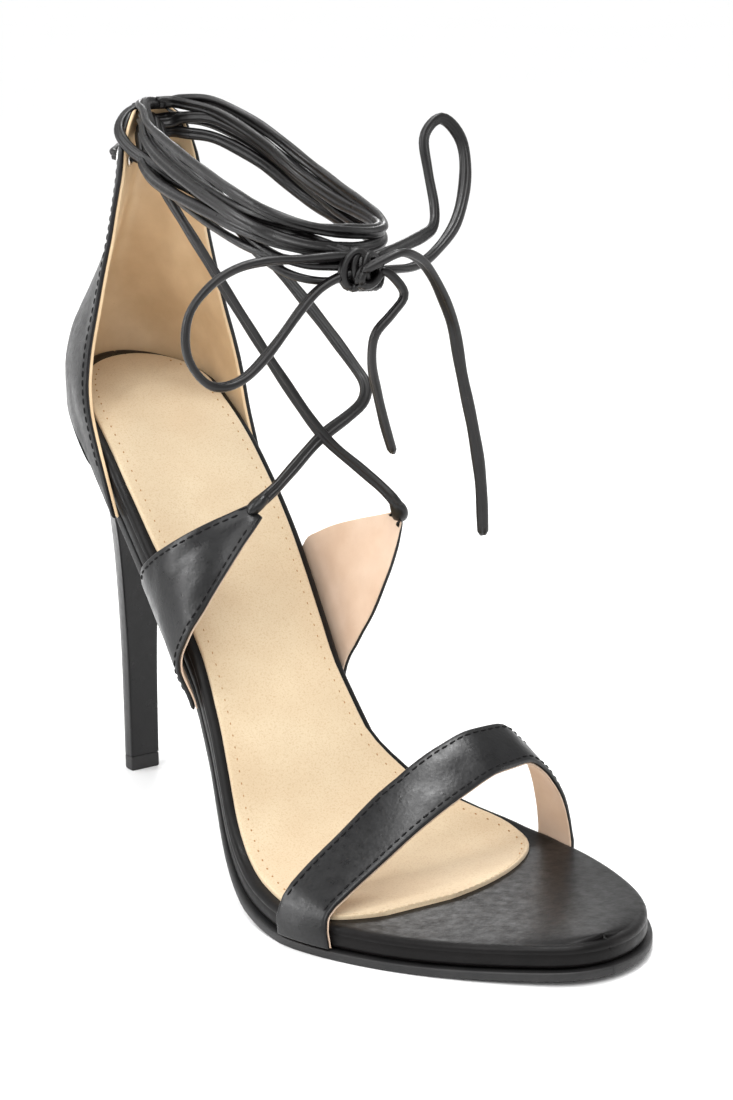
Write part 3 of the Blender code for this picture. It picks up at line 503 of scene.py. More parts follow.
class Finish:
    """A Principled material put together from textures in the object's own millimetres."""

    def __init__(self, name, roughness, metallic=0.0, **sockets):
        self.material = bpy.data.materials.new(name)
        self.material.use_nodes = True
        self.tree = self.material.node_tree
        self.shader = self.tree.nodes["Principled BSDF"]
        self.shader.inputs["Roughness"].default_value = roughness
        self.shader.inputs["Metallic"].default_value = metallic
        for label, value in sockets.items():
            self.shader.inputs[label.replace("_", " ")].default_value = value
        coordinates = self.tree.nodes.new("ShaderNodeTexCoord")
        scale = self.tree.nodes.new("ShaderNodeVectorMath")
        scale.operation = "SCALE"
        scale.inputs["Scale"].default_value = 1 / MM
        self.tree.links.new(coordinates.outputs["Object"], scale.inputs[0])
        self.where = scale.outputs[0]
        self.normal = None

    def node(self, kind, **inputs):
        """A new node whose inputs are numbers or other nodes' sockets."""
        made = self.tree.nodes.new(kind)
        for label, value in inputs.items():
            self.feed(made.inputs[label.replace("_", " ")], value)
        return made

    def feed(self, socket, value):
        """Link another node's socket to this one, or set its value."""
        if isinstance(value, bpy.types.NodeSocket):
            self.tree.links.new(value, socket)
        else:
            socket.default_value = value

    def noise(self, size, detail=3.0, rough=0.55, stretch=None):
        """Soft noise whose lumps are about size millimetres across."""
        where = self.where
        if stretch:
            scale = self.node("ShaderNodeVectorMath")
            scale.operation = "MULTIPLY"
            self.feed(scale.inputs[0], self.where)
            self.feed(scale.inputs[1], stretch)
            where = scale.outputs[0]
        made = self.node("ShaderNodeTexNoise", Vector=where, Scale=1 / size, Detail=detail, Roughness=rough)
        return made.outputs["Fac"]

    def cells(self, size):
        """Pebbles about size millimetres across."""
        made = self.node("ShaderNodeTexVoronoi", Vector=self.where, Scale=1 / size)
        made.feature = "SMOOTH_F1"
        return made.outputs["Distance"]

    def between(self, value, low, high, low_out=0.0, high_out=1.0):
        """A value's range from low to high, mapped to another range."""
        made = self.node("ShaderNodeMapRange", Value=value, From_Min=low, From_Max=high,
                         To_Min=low_out, To_Max=high_out)
        return made.outputs["Result"]

    def blend(self, factor, first, second):
        """Two colours, or a colour and another blend, mixed by a factor."""
        made = self.tree.nodes.new("ShaderNodeMix")
        made.data_type = "RGBA"
        sockets = (made.inputs[0], made.inputs[6], made.inputs[7])
        for socket, value in zip(sockets, (factor, first, second)):
            self.feed(socket, value)
        return made.outputs[2]

    def bump(self, height, depth, strength=1.0):
        """Relief of a depth in millimetres, on top of what there is."""
        made = self.node("ShaderNodeBump", Height=height, Strength=strength, Distance=depth * MM)
        if self.normal:
            self.feed(made.inputs["Normal"], self.normal)
        self.normal = made.outputs["Normal"]
        return self

    def done(self, colour, roughness=None):
        """Link what was made to the shader, and give the material."""
        self.tree.links.new(colour, self.shader.inputs["Base Color"])
        if roughness:
            self.tree.links.new(roughness, self.shader.inputs["Roughness"])
        if self.normal:
            self.tree.links.new(self.normal, self.shader.inputs["Normal"])
        return self.material


def black_leather(name, dark, light, gloss, grain=0.85, depth=0.05, shine=0.34, coat=0.06):
    """Smooth black leather with a satin surface. grain, depth: its pebbles, in millimetres."""
    finish = Finish(name, gloss, Coat_Weight=coat, Coat_Roughness=0.22, Specular_IOR_Level=shine)
    finish.bump(finish.noise(14.0, 2.0), 0.30, 0.6)
    finish.bump(finish.between(finish.cells(grain), 0.0, 0.9), -depth, 0.6)
    finish.bump(finish.noise(0.35, 2.0), 0.016, 0.6)
    patches = finish.noise(9.0, 4.0)
    colour = finish.blend(finish.between(patches, 0.3, 0.7), dark, light)
    worn = finish.between(finish.noise(2.4, 4.0, 0.7), 0.35, 0.75, gloss - 0.07, gloss + 0.10)
    return finish.done(colour, worn)


def suede_sock():
    """Beige microfibre with a speckle, matt."""
    finish = Finish("sock_microfibre", 0.8, Sheen_Weight=0.25, Sheen_Roughness=0.5,
                    Specular_IOR_Level=0.25)
    speckle = finish.noise(0.42, 3.0, 0.7)
    clouds = finish.noise(16.0, 3.0)
    base = finish.blend(finish.between(clouds, 0.3, 0.7), tint(198, 177, 146), tint(206, 188, 158))
    colour = finish.blend(finish.between(speckle, 0.50, 0.68, 0.0, 0.55), base, tint(174, 143, 110))
    finish.bump(speckle, 0.06, 0.6)
    finish.bump(finish.cells(0.9), -0.04, 0.4)
    return finish.done(colour, finish.between(speckle, 0.3, 0.7, 0.72, 0.88))


def pored_lining(name, light, deep, pore=0.9):
    """Smooth lining with small pores, a little shinier than the sock."""
    finish = Finish(name, 0.55, Coat_Weight=0.05, Coat_Roughness=0.4, Specular_IOR_Level=0.4)
    pores = finish.cells(pore)
    clouds = finish.noise(11.0, 4.0)
    base = finish.blend(finish.between(clouds, 0.3, 0.7), light, deep)
    colour = finish.blend(finish.between(pores, 0.0, 0.16, 0.5, 0.0), base, deep)
    finish.bump(finish.between(pores, 0.0, 0.2), 0.05, 0.6)
    finish.bump(finish.noise(6.0, 3.0), 0.15, 0.5)
    return finish.done(colour, finish.between(clouds, 0.3, 0.7, 0.48, 0.62))


def lace_leather():
    """Folded narrow leather, glossy on its ridges and lightly wrinkled."""
    finish = Finish("lace_leather", 0.32, Coat_Weight=0.10, Coat_Roughness=0.18, Specular_IOR_Level=0.36)
    finish.bump(finish.noise(1.6, 4.0, 0.65), 0.22, 0.6)
    finish.bump(finish.cells(0.45), -0.03, 0.4)
    colour = finish.blend(finish.noise(4.0, 2.0), tint(8, 7, 8), tint(18, 16, 16))
    return finish.done(colour, finish.between(finish.noise(3.0, 3.0), 0.3, 0.7, 0.27, 0.44))


def moulded(name, dark, light, roughness, grain):
    """Moulded rubber with a fine even grain."""
    finish = Finish(name, roughness, Specular_IOR_Level=0.4)
    fine = finish.noise(grain, 2.0)
    finish.bump(fine, 0.05, 0.7)
    colour = finish.blend(finish.between(finish.noise(7.0, 4.0), 0.3, 0.7), dark, light)
    return finish.done(colour, finish.between(fine, 0.3, 0.7, roughness - 0.06, roughness + 0.08))


def sewing_thread():
    """Matt black twisted thread."""
    finish = Finish("thread", 0.6, Specular_IOR_Level=0.22)
    twist = finish.noise(0.18, 1.0)
    finish.bump(twist, 0.05, 0.8)
    return finish.done(finish.blend(twist, tint(5, 5, 6), tint(15, 14, 15)))


def nickel():
    """Bright plated metal with faint rubbing marks."""
    finish = Finish("eyelet_nickel", 0.2, metallic=1.0)
    marks = finish.noise(0.5, 4.0, 0.7, stretch=(1.0, 1.0, 5.0))
    finish.bump(marks, 0.01, 0.5)
    colour = finish.blend(marks, tint(208, 208, 210), tint(232, 231, 228))
    return finish.done(colour, finish.between(marks, 0.3, 0.7, 0.16, 0.30))


def pricked():
    """The darker marks that the needle left in the sock."""
    finish = Finish("needle_prick", 0.9, Specular_IOR_Level=0.2)
    marks = finish.noise(0.3, 1.0)
    return finish.done(finish.blend(marks, tint(150, 112, 74), tint(176, 138, 96)))


# Meshes


def add_piece(name, vertices, faces, finish, slot, replaces=(), sharp=False):
    """Make one closed mesh into a piece that rides on the shoe."""
    data = bpy.data.meshes.new(name)
    data.from_pydata([tuple(vertex) for vertex in vertices], [], faces)
    shape = bmesh.new()
    shape.from_mesh(data)
    bmesh.ops.recalc_face_normals(shape, faces=shape.faces)
    shape.to_mesh(data)
    shape.free()
    data.shade_smooth()
    if sharp:
        data.set_sharp_from_angle(angle=pi / 4)
    data.materials.append(finish)
    piece = bpy.data.objects.new(name, data)
    bpy.context.scene.collection.objects.link(piece)
    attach(piece, "root")
    if replaces:
        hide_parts(*replaces)
    return piece


def lofted(sections):
    """Vertices and faces of a closed body through closed sections of equal count."""
    count = len(sections[0])
    vertices = [point for section in sections for point in section]
    faces = [tuple(range(count)), tuple(range(len(vertices) - count, len(vertices)))]
    for k in range(len(sections) - 1):
        for i in range(count):
            j = (i + 1) % count
            faces.append((k * count + i, k * count + j, (k + 1) * count + j, (k + 1) * count + i))
    return vertices, faces


# Degrees round a rolled edge at which it has a row of points
ROLL_ANGLES = (86, 66, 44, 22, 0)
TINY = 1e-12


def unit_normals(grid):
    """The direction square to a grid at each of its points."""
    normals = np.cross(np.gradient(grid, axis=1), np.gradient(grid, axis=0))
    return normals / (np.linalg.norm(normals, axis=-1, keepdims=True) + TINY)


def rolled(points, half, axis):
    """Replace a grid's first and last row along an axis by rows round a rolled edge."""
    points = np.moveaxis(points, axis, 0)
    angles = np.radians(ROLL_ANGLES)

    def edge(tip, inner):
        out = tip - inner
        out /= np.linalg.norm(out, axis=-1, keepdims=True) + TINY
        return [tip + out * half * (sin(angle) - 1) for angle in angles]

    first = edge(points[0], points[1])
    last = edge(points[-1], points[-2])[::-1]
    scale = np.concatenate([np.cos(angles), np.ones(len(points) - 2), np.cos(angles)[::-1]])
    return np.moveaxis(np.array(first + list(points[1:-1]) + last), 0, axis), scale


def shell(grid, low, high):
    """Vertices and faces of a wall between two offsets from a grid, its edges rolled."""
    half = abs(high - low) / 2
    grid, down = rolled(np.array(grid, float), half, 0)
    grid, over = rolled(grid, half, 1)
    normals = unit_normals(grid)
    reach = normals * (half * down[:, None] * over[None, :])[..., None]
    middle = grid + normals * (low + high) / 2
    rows, columns = grid.shape[:2]
    vertices = np.concatenate([(middle + reach).reshape(-1, 3), (middle - reach).reshape(-1, 3)])
    other = rows * columns
    faces = []
    for r in range(rows - 1):
        for c in range(columns - 1):
            a = r * columns + c
            quad = (a, a + 1, a + columns + 1, a + columns)
            faces.append(quad)
            faces.append(tuple(other + i for i in quad[::-1]))
    rim = list(range(columns))
    rim += [r * columns + columns - 1 for r in range(1, rows)]
    rim += [(rows - 1) * columns + c for c in range(columns - 2, -1, -1)]
    rim += [r * columns for r in range(rows - 2, 0, -1)]
    for a, b in zip(rim, rim[1:] + rim[:1]):
        faces.append((a, b, other + b, other + a))
    return vertices, faces


# A crease: its start and end as shares down and across a piece's grid, its width and depth in
# millimetres. A trough's depth is below zero, a ridge's above.
Crease = namedtuple("Crease", "start end width depth")


def creased(grid, creases, out=1.0):
    """A grid with soft troughs and ridges pressed into it along straight lines."""
    grid = np.array(grid, float)
    normals = unit_normals(grid)
    rows, columns = grid.shape[:2]
    lift = np.zeros((rows, columns))
    for crease in creases:
        a, b = (grid[round(down * (rows - 1)), round(over * (columns - 1))]
                for down, over in (crease.start, crease.end))
        share = np.clip((grid - a) @ (b - a) / ((b - a) @ (b - a)), 0.0, 1.0)
        away = np.linalg.norm(grid - a - share[..., None] * (b - a), axis=-1)
        lift += out * crease.depth * MM * np.exp(-(away / (crease.width * MM)) ** 2)
    return grid + normals * lift[..., None]


def inset_line(grid, start, end, edge, distance, offset):
    """Points and normals along one edge of a grid, a distance in from it.

    edge is first_column or last_column. start and end are shares of its length.
    """
    grid = np.array(grid, float)
    normals = unit_normals(grid)
    if edge == "last_column":
        grid, normals = grid[:, ::-1], normals[:, ::-1]
    points = []
    rows = len(grid)
    for i in range(int(start * (rows - 1)), int(end * (rows - 1)) + 1):
        length = 0.0
        for c in range(len(grid[i]) - 1):
            step = np.linalg.norm(grid[i][c + 1] - grid[i][c])
            if length + step >= distance:
                t = (distance - length) / step
                point = grid[i][c] * (1 - t) + grid[i][c + 1] * t
                normal = normals[i][c] * (1 - t) + normals[i][c + 1] * t
                normal /= np.linalg.norm(normal)
                points.append((point + normal * offset, normal * (1 if offset >= 0 else -1)))
                break
            length += step
    return points


# One stitch. Profile: place along it and thickness there, as shares of its length and of the
# thread's half thickness. proud and dive: how far its middle stands up and its ends go in.
STITCH_PROFILE = (
    (-0.5, 0.25), (-0.42, 0.75), (-0.25, 1.0), (0.0, 1.06), (0.25, 1.0), (0.42, 0.75), (0.5, 0.25),
)
STITCH_SIDES = 8
STITCH_AHEAD = 0.2 * MM
STITCH_PROUD = 0.25
STITCH_DIVE = 1.2


def stitch_row(name, line, finish, slot, step=SEAM_STEP, length=STITCH, thick=THREAD):
    """Short rounded stitches along a line of points and normals, joined into one mesh."""
    points = np.array([point for point, normal in line])
    normals = np.array([normal for point, normal in line])
    lengths = np.concatenate([[0], np.cumsum(np.linalg.norm(np.diff(points, axis=0), axis=1))])
    vertices, faces = [], []
    sides = STITCH_SIDES
    for k in range(int(lengths[-1] / step)):
        middle = (k + 0.5) * step
        here, ahead = (np.array([np.interp(middle + d, lengths, points[:, i]) for i in range(3)])
                       for d in (0.0, STITCH_AHEAD))
        up = np.array([np.interp(middle, lengths, normals[:, i]) for i in range(3)])
        up /= np.linalg.norm(up)
        forward = ahead - here
        forward /= np.linalg.norm(forward) + TINY
        side = np.cross(forward, up)
        start = len(vertices)
        for along, wide in STITCH_PROFILE:
            lift = STITCH_PROUD - STITCH_DIVE * along * along
            centre = here + forward * along * length + up * thick * lift
            for i in range(sides):
                angle = 2 * pi * i / sides
                vertices.append(centre + (side * cos(angle) + up * sin(angle)) * thick * wide)
        for j in range(len(STITCH_PROFILE) - 1):
            for i in range(sides):
                a, b = start + j * sides + i, start + j * sides + (i + 1) % sides
                faces.append((a, b, b + sides, a + sides))
        faces.append(tuple(range(start, start + sides)))
        faces.append(tuple(range(len(vertices) - sides, len(vertices))))
    return add_piece(name, vertices, faces, finish, slot)


# Laces


# The lace's section: two ridges with a fold between, as shares of its half thickness. Its
# thickness waves slowly: size, length and phase of each wave. Twists are radians a tenth of a
# metre.
LACE_SIDES = 24
FOLD_DEPTH = 0.50
FOLD_WIDTH = 0.24
LACE_WAVES = ((0.035, 2.3 * MM, 0.0), (0.030, 5.9 * MM, 1.3))
TWIST_LENGTH = 0.1
BLUNT_END = 0.6
ROUTE_STEPS = 16
ROUTE_SMOOTHINGS = 6


def smooth_route(route, step=FINE_LACE):
    """Points a step apart on one smooth curve through a route of metre points."""
    route = np.array(route, float)
    knots = np.array([2 * route[0] - route[1], *route, 2 * route[-1] - route[-2]])
    fine = []
    for a, b, c, d in zip(knots, knots[1:], knots[2:], knots[3:]):
        for t in np.arange(0, 1, 1 / ROUTE_STEPS):
            fine.append(0.5 * (2 * b + (c - a) * t + (2 * a - 5 * b + 4 * c - d) * t * t
                               + (3 * b - a - 3 * c + d) * t ** 3))
    fine = np.array(fine + [knots[-2]])
    for _ in range(ROUTE_SMOOTHINGS):
        fine[1:-1] = (fine[:-2] + fine[1:-1] * 2 + fine[2:]) / 4
    lengths = np.concatenate([[0], np.cumsum(np.linalg.norm(np.diff(fine, axis=0), axis=1))])
    count = max(4, round(lengths[-1] / step))
    at = np.linspace(0, lengths[-1], count + 1)
    return np.stack([np.interp(at, lengths, fine[:, i]) for i in range(3)], axis=1)


def in_metres(route):
    """A route of x, along, z in millimetres, as points of the shoe."""
    return [np.array(place(*(value * MM for value in point))) for point in route]


def lace_tube(points, twist=0.0, wide=1.10, thin=0.80, start_angle=0.0, blunt=True):
    """Vertices and faces of a lace: a flattened strip folded into two ridges along a route."""
    points = np.asarray(points)
    forward = np.gradient(points, axis=0)
    forward /= np.linalg.norm(forward, axis=1, keepdims=True) + TINY
    side = np.cross(forward[0], (0, 0, 1.0))
    if np.linalg.norm(side) < 0.1:
        side = np.cross(forward[0], (1.0, 0, 0))
    sides = LACE_SIDES
    angles = np.arange(sides) * 2 * pi / sides
    across = wide * np.cos(angles)
    fold = 1 - FOLD_DEPTH * np.exp(-(np.cos(angles) / FOLD_WIDTH) ** 2)
    upward = thin * np.sin(angles) * fold
    vertices, faces = [], []
    travelled = 0.0
    for i, (point, ahead) in enumerate(zip(points, forward)):
        side = side - ahead * (side @ ahead)
        side /= np.linalg.norm(side)
        above = np.cross(side, ahead)
        if i:
            travelled += np.linalg.norm(point - points[i - 1])
        turn = start_angle + twist * travelled / TWIST_LENGTH
        flat = side * cos(turn) + above * sin(turn)
        top = above * cos(turn) - side * sin(turn)
        pinch = 1 + sum(size * sin(travelled / length + phase) for size, length, phase in LACE_WAVES)
        if blunt and i in (0, len(points) - 1):
            pinch *= BLUNT_END
        radius = LACE / 2 * pinch
        for a, b in zip(across, upward):
            vertices.append(point + flat * a * radius + top * b * radius)
    for i in range(len(points) - 1):
        for k in range(sides):
            a, b = i * sides + k, i * sides + (k + 1) % sides
            faces.append((a, b, b + sides, a + sides))
    faces.append(tuple(range(sides)))
    faces.append(tuple(range(len(vertices) - sides, len(vertices))))
    return vertices, faces


def joined(parts):
    """Several closed meshes as one."""
    vertices, faces = [], []
    for more, around in parts:
        start = len(vertices)
        vertices.extend(more)
        faces.extend(tuple(start + i for i in face) for face in around)
    return vertices, faces


# Each lace of the ankle bundle: level in the bundle in lace diameters, millimetres outside its
# middle, and phase of its sway
RING_LACES = (
    (-1.55, 0.0, 0.3),
    (-0.95, 1.9, 2.1),
    (-0.40, -0.6, 3.6),
    (0.20, 1.7, 5.0),
    (0.80, -0.4, 0.9),
    (1.40, 1.2, 4.2),
)

# How a lace of the bundle sways up and down, in lace diameters, and drifts in and out, in
# millimetres, and where the bundle's middle is along the shoe. On the far side, measured
# across, the laces close up and lie lower.
SWAY = 0.42
SWAY_WAVES = 2
DRIFT = 0.7
DRIFT_WAVES = 1.5
DRIFT_PHASE = 1.7
BUNDLE_MIDDLE = 72.0
FAR_SIDE = 20.0
FAR_CLOSING = 0.35
FAR_DROP = 2.4

# Laces that leave the bundle: one hooks outside the cup, two droop to the knot from below
LOOSE_LACES = (
    [
        (2.0, 31.5, 182.6), (-3.0, 29.0, 182.6), (-8.0, 28.4, 180.8), (-11.8, 30.8, 176.8),
        (-12.4, 37.0, 172.6), (-11.6, 46.0, 169.4), (-11.8, 58.0, 166.0), (-12.9, 74.0, 163.0),
        (-15.1, 91.0, 160.6), (-14.6, 105.0, 158.0), (-10.5, 113.5, 156.5), (-3.0, 119.5, 153.0),
        (1.0, 121.4, 150.6),
    ],
    [
        (-3.0, 32.6, 180.0), (-7.5, 44.0, 172.6), (-9.7, 60.0, 167.0), (-11.0, 75.0, 162.0),
        (-15.0, 92.0, 156.6), (-17.0, 104.5, 151.7), (-14.6, 113.0, 148.2), (-8.7, 118.2, 146.8),
        (-2.4, 121.4, 148.0),
    ],
    [
        (-1.0, 31.6, 178.6), (-5.5, 44.0, 171.6), (-8.9, 62.0, 165.6), (-12.0, 80.0, 161.2),
        (-16.6, 97.0, 156.4), (-16.4, 107.0, 153.0), (-12.2, 114.8, 150.6), (-6.0, 119.2, 150.0),
        (-1.0, 121.4, 149.8),
    ],
)

# Where the lace starts inside the folded point of each flap
MEDIAL_LEAD = [(23.6, 102.6, 82.6), (22.0, 104.2, 85.8)]
LATERAL_LEAD = [(-14.6, 91.6, 87.4), (-12.2, 92.6, 89.8)]


def ring_route(level, bulge, phase):
    """One lace round the ankle: how high it lies in the bundle and how far outside its middle."""
    points = []
    for i, row in enumerate(TURN_ROUTE):
        share = i / (len(TURN_ROUTE) - 1)
        up = level + SWAY * sin(2 * pi * share * SWAY_WAVES + phase)
        out = bulge + DRIFT * cos(2 * pi * share * DRIFT_WAVES + phase * DRIFT_PHASE)
        radial = Vector((row.x, row.along - BUNDLE_MIDDLE)).normalized()
        far = max(row.x, 0.0) / FAR_SIDE
        height = row.fan * (1 - FAR_CLOSING * far) * up * LACE / MM - FAR_DROP * far
        points.append((row.x + radial.x * out, row.along + radial.y * out + row.slide * up,
                       row.z + height))
    return points


# The middle of the knot as shown, and where each cord runs on inside it: before its route and,
# for a loop, after it
KNOT_SHOWN = (-1.2, 121.9, 149.2)
KNOT_POINTS = 32
KNOT_LEADS = {
    "bow_loop_left": ((-0.5, 122.4, 149.0), (-0.5, 122.2, 151.2)),
    "bow_loop_right": ((2.5, 122.4, 148.6), (2.5, 122.0, 151.4)),
    "bow_end_left": ((2.2, 124.4, 149.6),),
    "bow_end_right": ((-3.4, 125.4, 149.4),),
}
# tilt, lean, shift, half width and half height of each wrap of the knot
KNOT_WRAPS = (
    (80.0, 4.0, (0.4, 0.0, 0.0), 4.4, 2.9),
    (62.0, 20.0, (2.4, -0.6, -0.4), 4.3, 2.8),
    (104.0, -16.0, (-2.0, -0.3, 0.3), 4.4, 2.8),
    (150.0, 6.0, (0.6, -2.6, -1.0), 3.4, 2.0),
)


def build_cords():
    """The bow: a knot, two loops and two hanging ends."""
    leather = FINISHES["lace"]
    cords = (
        ("bow_loop_left", "lace_loop_left", LOOP_LEFT, "object", 0.4),
        ("bow_loop_right", "lace_loop_right", LOOP_RIGHT, "object", -0.5),
        ("bow_end_left", "lace_end_left", END_LEFT, "bare", 1.3),
        ("bow_end_right", "lace_end_right", END_RIGHT, "bare", 0.9),
    )
    for name, node, route, far_end, twist in cords:
        before, *after = KNOT_LEADS[name]
        points = smooth_route(in_metres([before, *route, *after]))
        piece = add_piece(name, *lace_tube(points, twist), leather, "lace", [node])
    add_piece("bow_knot", *joined(knot_wraps()), leather, "lace", ["lace_knot"])


def knot_wraps():
    """The turns of lace that make the knot, each an oval ring."""
    wraps = []
    centre, = in_metres([KNOT_SHOWN])
    for tilt, lean, shift, wide, tall in KNOT_WRAPS:
        ring = []
        for i in range(KNOT_POINTS):
            angle = 2 * pi * i / KNOT_POINTS
            local = Vector((cos(angle) * wide, 0.0, sin(angle) * tall)) * MM
            local.rotate(Matrix.Rotation(radians(tilt), 3, "Y"))
            local.rotate(Matrix.Rotation(radians(lean), 3, "Z"))
            ring.append(centre + np.array(local) + np.array(shift) * MM)
        wraps.append(lace_tube(smooth_route(ring + [ring[0]]), 0.6, blunt=False))
    return wraps


# A flap's point, folded into a sleeve: half its width and height where it starts, how much each
# loses towards its end, and how round its two ends are
SLEEVE_STEP = 0.4 * MM
SLEEVE_SIDES = 28
SLEEVE_WIDE = (2.5 * MM, 0.5 * MM)
SLEEVE_TALL = (1.75 * MM, 0.15 * MM)
SLEEVE_END = 0.02
SLEEVE_SWELL = 0.25


def build_tip_sleeve(name, route, finish):
    """The point of a flap, folded over into a short sleeve that the lace goes through."""
    points = smooth_route(in_metres(route), SLEEVE_STEP)
    forward = points[-1] - points[0]
    forward /= np.linalg.norm(forward)
    side = np.cross(forward, (0, 0, 1.0))
    side /= np.linalg.norm(side)
    above = np.cross(side, forward)
    turns = [2 * pi * k / SLEEVE_SIDES for k in range(SLEEVE_SIDES)]
    sections = []
    for i, point in enumerate(points):
        share = i / (len(points) - 1)
        swell = sin(pi * min(max(share, SLEEVE_END), 1 - SLEEVE_END)) ** SLEEVE_SWELL
        wide, tall = ((start - loss * share) * swell for start, loss in (SLEEVE_WIDE, SLEEVE_TALL))
        sections.append([point + side * wide * cos(turn) + above * tall * sin(turn) for turn in turns])
    add_piece(name, *lofted(sections), finish, "upper_leather")


# How far inside the cup the lace turns to its eyelet, and how far outside it turns back
EYELET_INSIDE = 2.6 * MM
EYELET_OUTSIDE = 2.2 * MM


def build_laces():
    """The lace from flap to flap through both eyelets, and the bundle round the ankle."""
    leather = FINISHES["lace"]
    up = eyelet_level()
    out = COUNTER_WALL + EYELET_SEAT + LACE / 2
    clear = EYELET_INSET + EYELET_BORE + EYELET_FLANGE + LACE_START
    reaches = (-EYELET_INSIDE, COUNTER_WALL / 2, COUNTER_WALL + EYELET_OUTSIDE)
    ways, behind = {}, {}
    for side in (LATERAL, MEDIAL):
        point, axis = eyelet_place(side)
        ways[side] = [np.array(point + axis * reach) for reach in reaches]
        start = share_behind(side, up, clear)
        spots = [cup_place(side, share * start, up) for share in BRIDGE_SHARES]
        behind[side] = [np.array(point + axis * out) for point, axis in spots]
    route = in_metres(MEDIAL_LEAD + LACE_FROM_MEDIAL)[:-1] + ways[LATERAL] + behind[LATERAL]
    route += behind[MEDIAL][::-1] + ways[MEDIAL][::-1]
    route += in_metres(LATERAL_LEAD + LACE_FROM_LATERAL)[:-1][::-1]
    add_piece("lace_over_instep", *lace_tube(smooth_route(route), 0.5), leather, "lace",
              ["lace_crossings", "lace_back_bridge"])
    build_tip_sleeve("flap_lateral_sleeve", LATERAL_LEAD + LACE_FROM_LATERAL[:1], FINISHES["leather"])
    build_tip_sleeve("flap_medial_sleeve", MEDIAL_LEAD + LACE_FROM_MEDIAL[:1], FINISHES["leather"])
    strands = [lace_tube(smooth_route(in_metres(route)), 0.6) for route in LOOSE_LACES]
    for level, bulge, phase in RING_LACES:
        route = ring_route(level, bulge, phase)
        route.append(route[0])
        strands.append(lace_tube(smooth_route(in_metres(route)), 0.5, start_angle=phase, blunt=False))
    add_piece("lace_ankle_bundle", *joined(strands), leather, "lace", ["lace_ankle_wraps"])


# The sole


# Degrees round the heel's and the toe's ends at which a layer has a section, and shares of the
# way across it
HEEL_TURNS = (1.5, *range(4, 91, 4))
TOE_TURNS = (*range(0, 89, 2), 89, 89.6, 89.9, 89.97)
ACROSS_STEPS = 14
FINE_ACROSS = tuple((1 - cos(pi * i / ACROSS_STEPS)) / 2 for i in range(1, ACROSS_STEPS))


def fine_stations():
    """Places along the sole, close together where its ends turn."""
    heel = [HEEL_ROUND * (1 - cos(radians(angle))) for angle in HEEL_TURNS]
    toe_start = SHOE_LENGTH - TOE_ROUND
    toe = [toe_start + TOE_ROUND * sin(radians(angle)) for angle in TOE_TURNS]
    count = ceil((toe_start - HEEL_ROUND) / FINE_STATION)
    middle = [HEEL_ROUND + (toe_start - HEEL_ROUND) * i / count for i in range(1, count)]
    return sorted(heel + middle + toe)


def fine_slab(places, edge, rim, lift, thickness, crown=None):
    """Sections of a layer that follows the last's profile, with a finely rounded rim."""

    def point(plan, level, share=0.0):
        bottom, stretch = underside(plan[1], plan[0])
        rise = crown(plan[1] / SHOE_LENGTH) * level * 4 * share * (1 - share) if crown else 0.0
        return place(plan[0], plan[1], bottom + stretch * (lift + level * thickness) + rise)

    sections = []
    for along in places:
        outer, inner = ([edge(side, along, -row.inset * thickness) for row in rim]
                        for side in (LATERAL, MEDIAL))

        def across(row, shares):
            return [point([a + (b - a) * share for a, b in zip(outer[row], inner[row])],
                          rim[row].level, share) for share in shares]

        section = [point(outer[0], rim[0].level)] + across(0, FINE_ACROSS)
        section += [point(plan, row.level) for plan, row in zip(inner, rim)]
        section += across(-1, FINE_ACROSS[::-1])
        section += [point(plan, row.level) for plan, row in zip(outer[:0:-1], rim[:0:-1])]
        sections.append(section)
    return sections


def build_sole():
    """The wrapped board, the sole sheet and the sock."""
    crown = smooth_table([CROWN_START, 1.0], [0.0, TOE_CROWN])
    board = fine_slab(fine_stations(), edge_point, FINE_BOARD_RIM, 0.0, BOARD_THICKNESS, crown)
    add_piece("board_wrapped", *lofted(board), FINISHES["board"], "upper_leather", ["footbed"], True)
    start = BREAST_ALONG + BREAST_GAP
    ledge = smooth_table([LEDGE_START, LEDGE_FULL], [0.0, SOLE_LEDGE])

    def sole_edge(side, along, outward):
        return edge_point(side, along, outward + ledge(along / SHOE_LENGTH))

    places = [start] + [along for along in fine_stations() if along > start + BREAST_GAP]
    sole = fine_slab(places, sole_edge, FINE_SOLE_RIM, -LAYER_FIT - SOLE_THICKNESS, SOLE_THICKNESS)
    add_piece("outsole_sheet", *lofted(sole), FINISHES["sole"], "sole", ["outsole"], True)
    build_sock()


def sock_edge(side, along, outward):
    """The sock's outline: a margin inside the board, its front end a skewed curve."""
    x, where = edge_point(side, along, outward - SOCK_MARGIN)
    where += SOCK_BACK * max(1 - where / HEEL_ROUND, 0.0) ** 2
    corner = SOCK_LATERAL_CORNER if side == LATERAL else SOCK_MEDIAL_CORNER
    turn = min(max((where - SOCK_FRONT) / corner + 1, 0.0), 0.9995)
    return SOCK_FRONT_X + (x - SOCK_FRONT_X) * sqrt(1 - turn * turn), where


# The sock: how close its last straight station comes to its round front, the degrees of that
# round, and the thin gap under it
SOCK_CLEAR = 1.5 * MM
SOCK_TURNS = range(0, 86, 5)
SOCK_GAP = 0.05 * MM

# Its stitched front edge and the rows of needle pricks: how far in from its edge, a step, a
# length and a half thickness
SOCK_SEAM = dict(step=2.0 * MM, length=1.5 * MM, thick=0.16 * MM)
SOCK_SEAM_INSET = 1.9 * MM
SOCK_SEAM_TURNS = range(20, 89, 2)
PRICKS = dict(step=3.2 * MM, length=0.55 * MM, thick=0.2 * MM)
PRICKS_INSET = 2.6 * MM
PRICKS_START = 8 * MM
PRICKS_POINT_STEP = 1.0 * MM


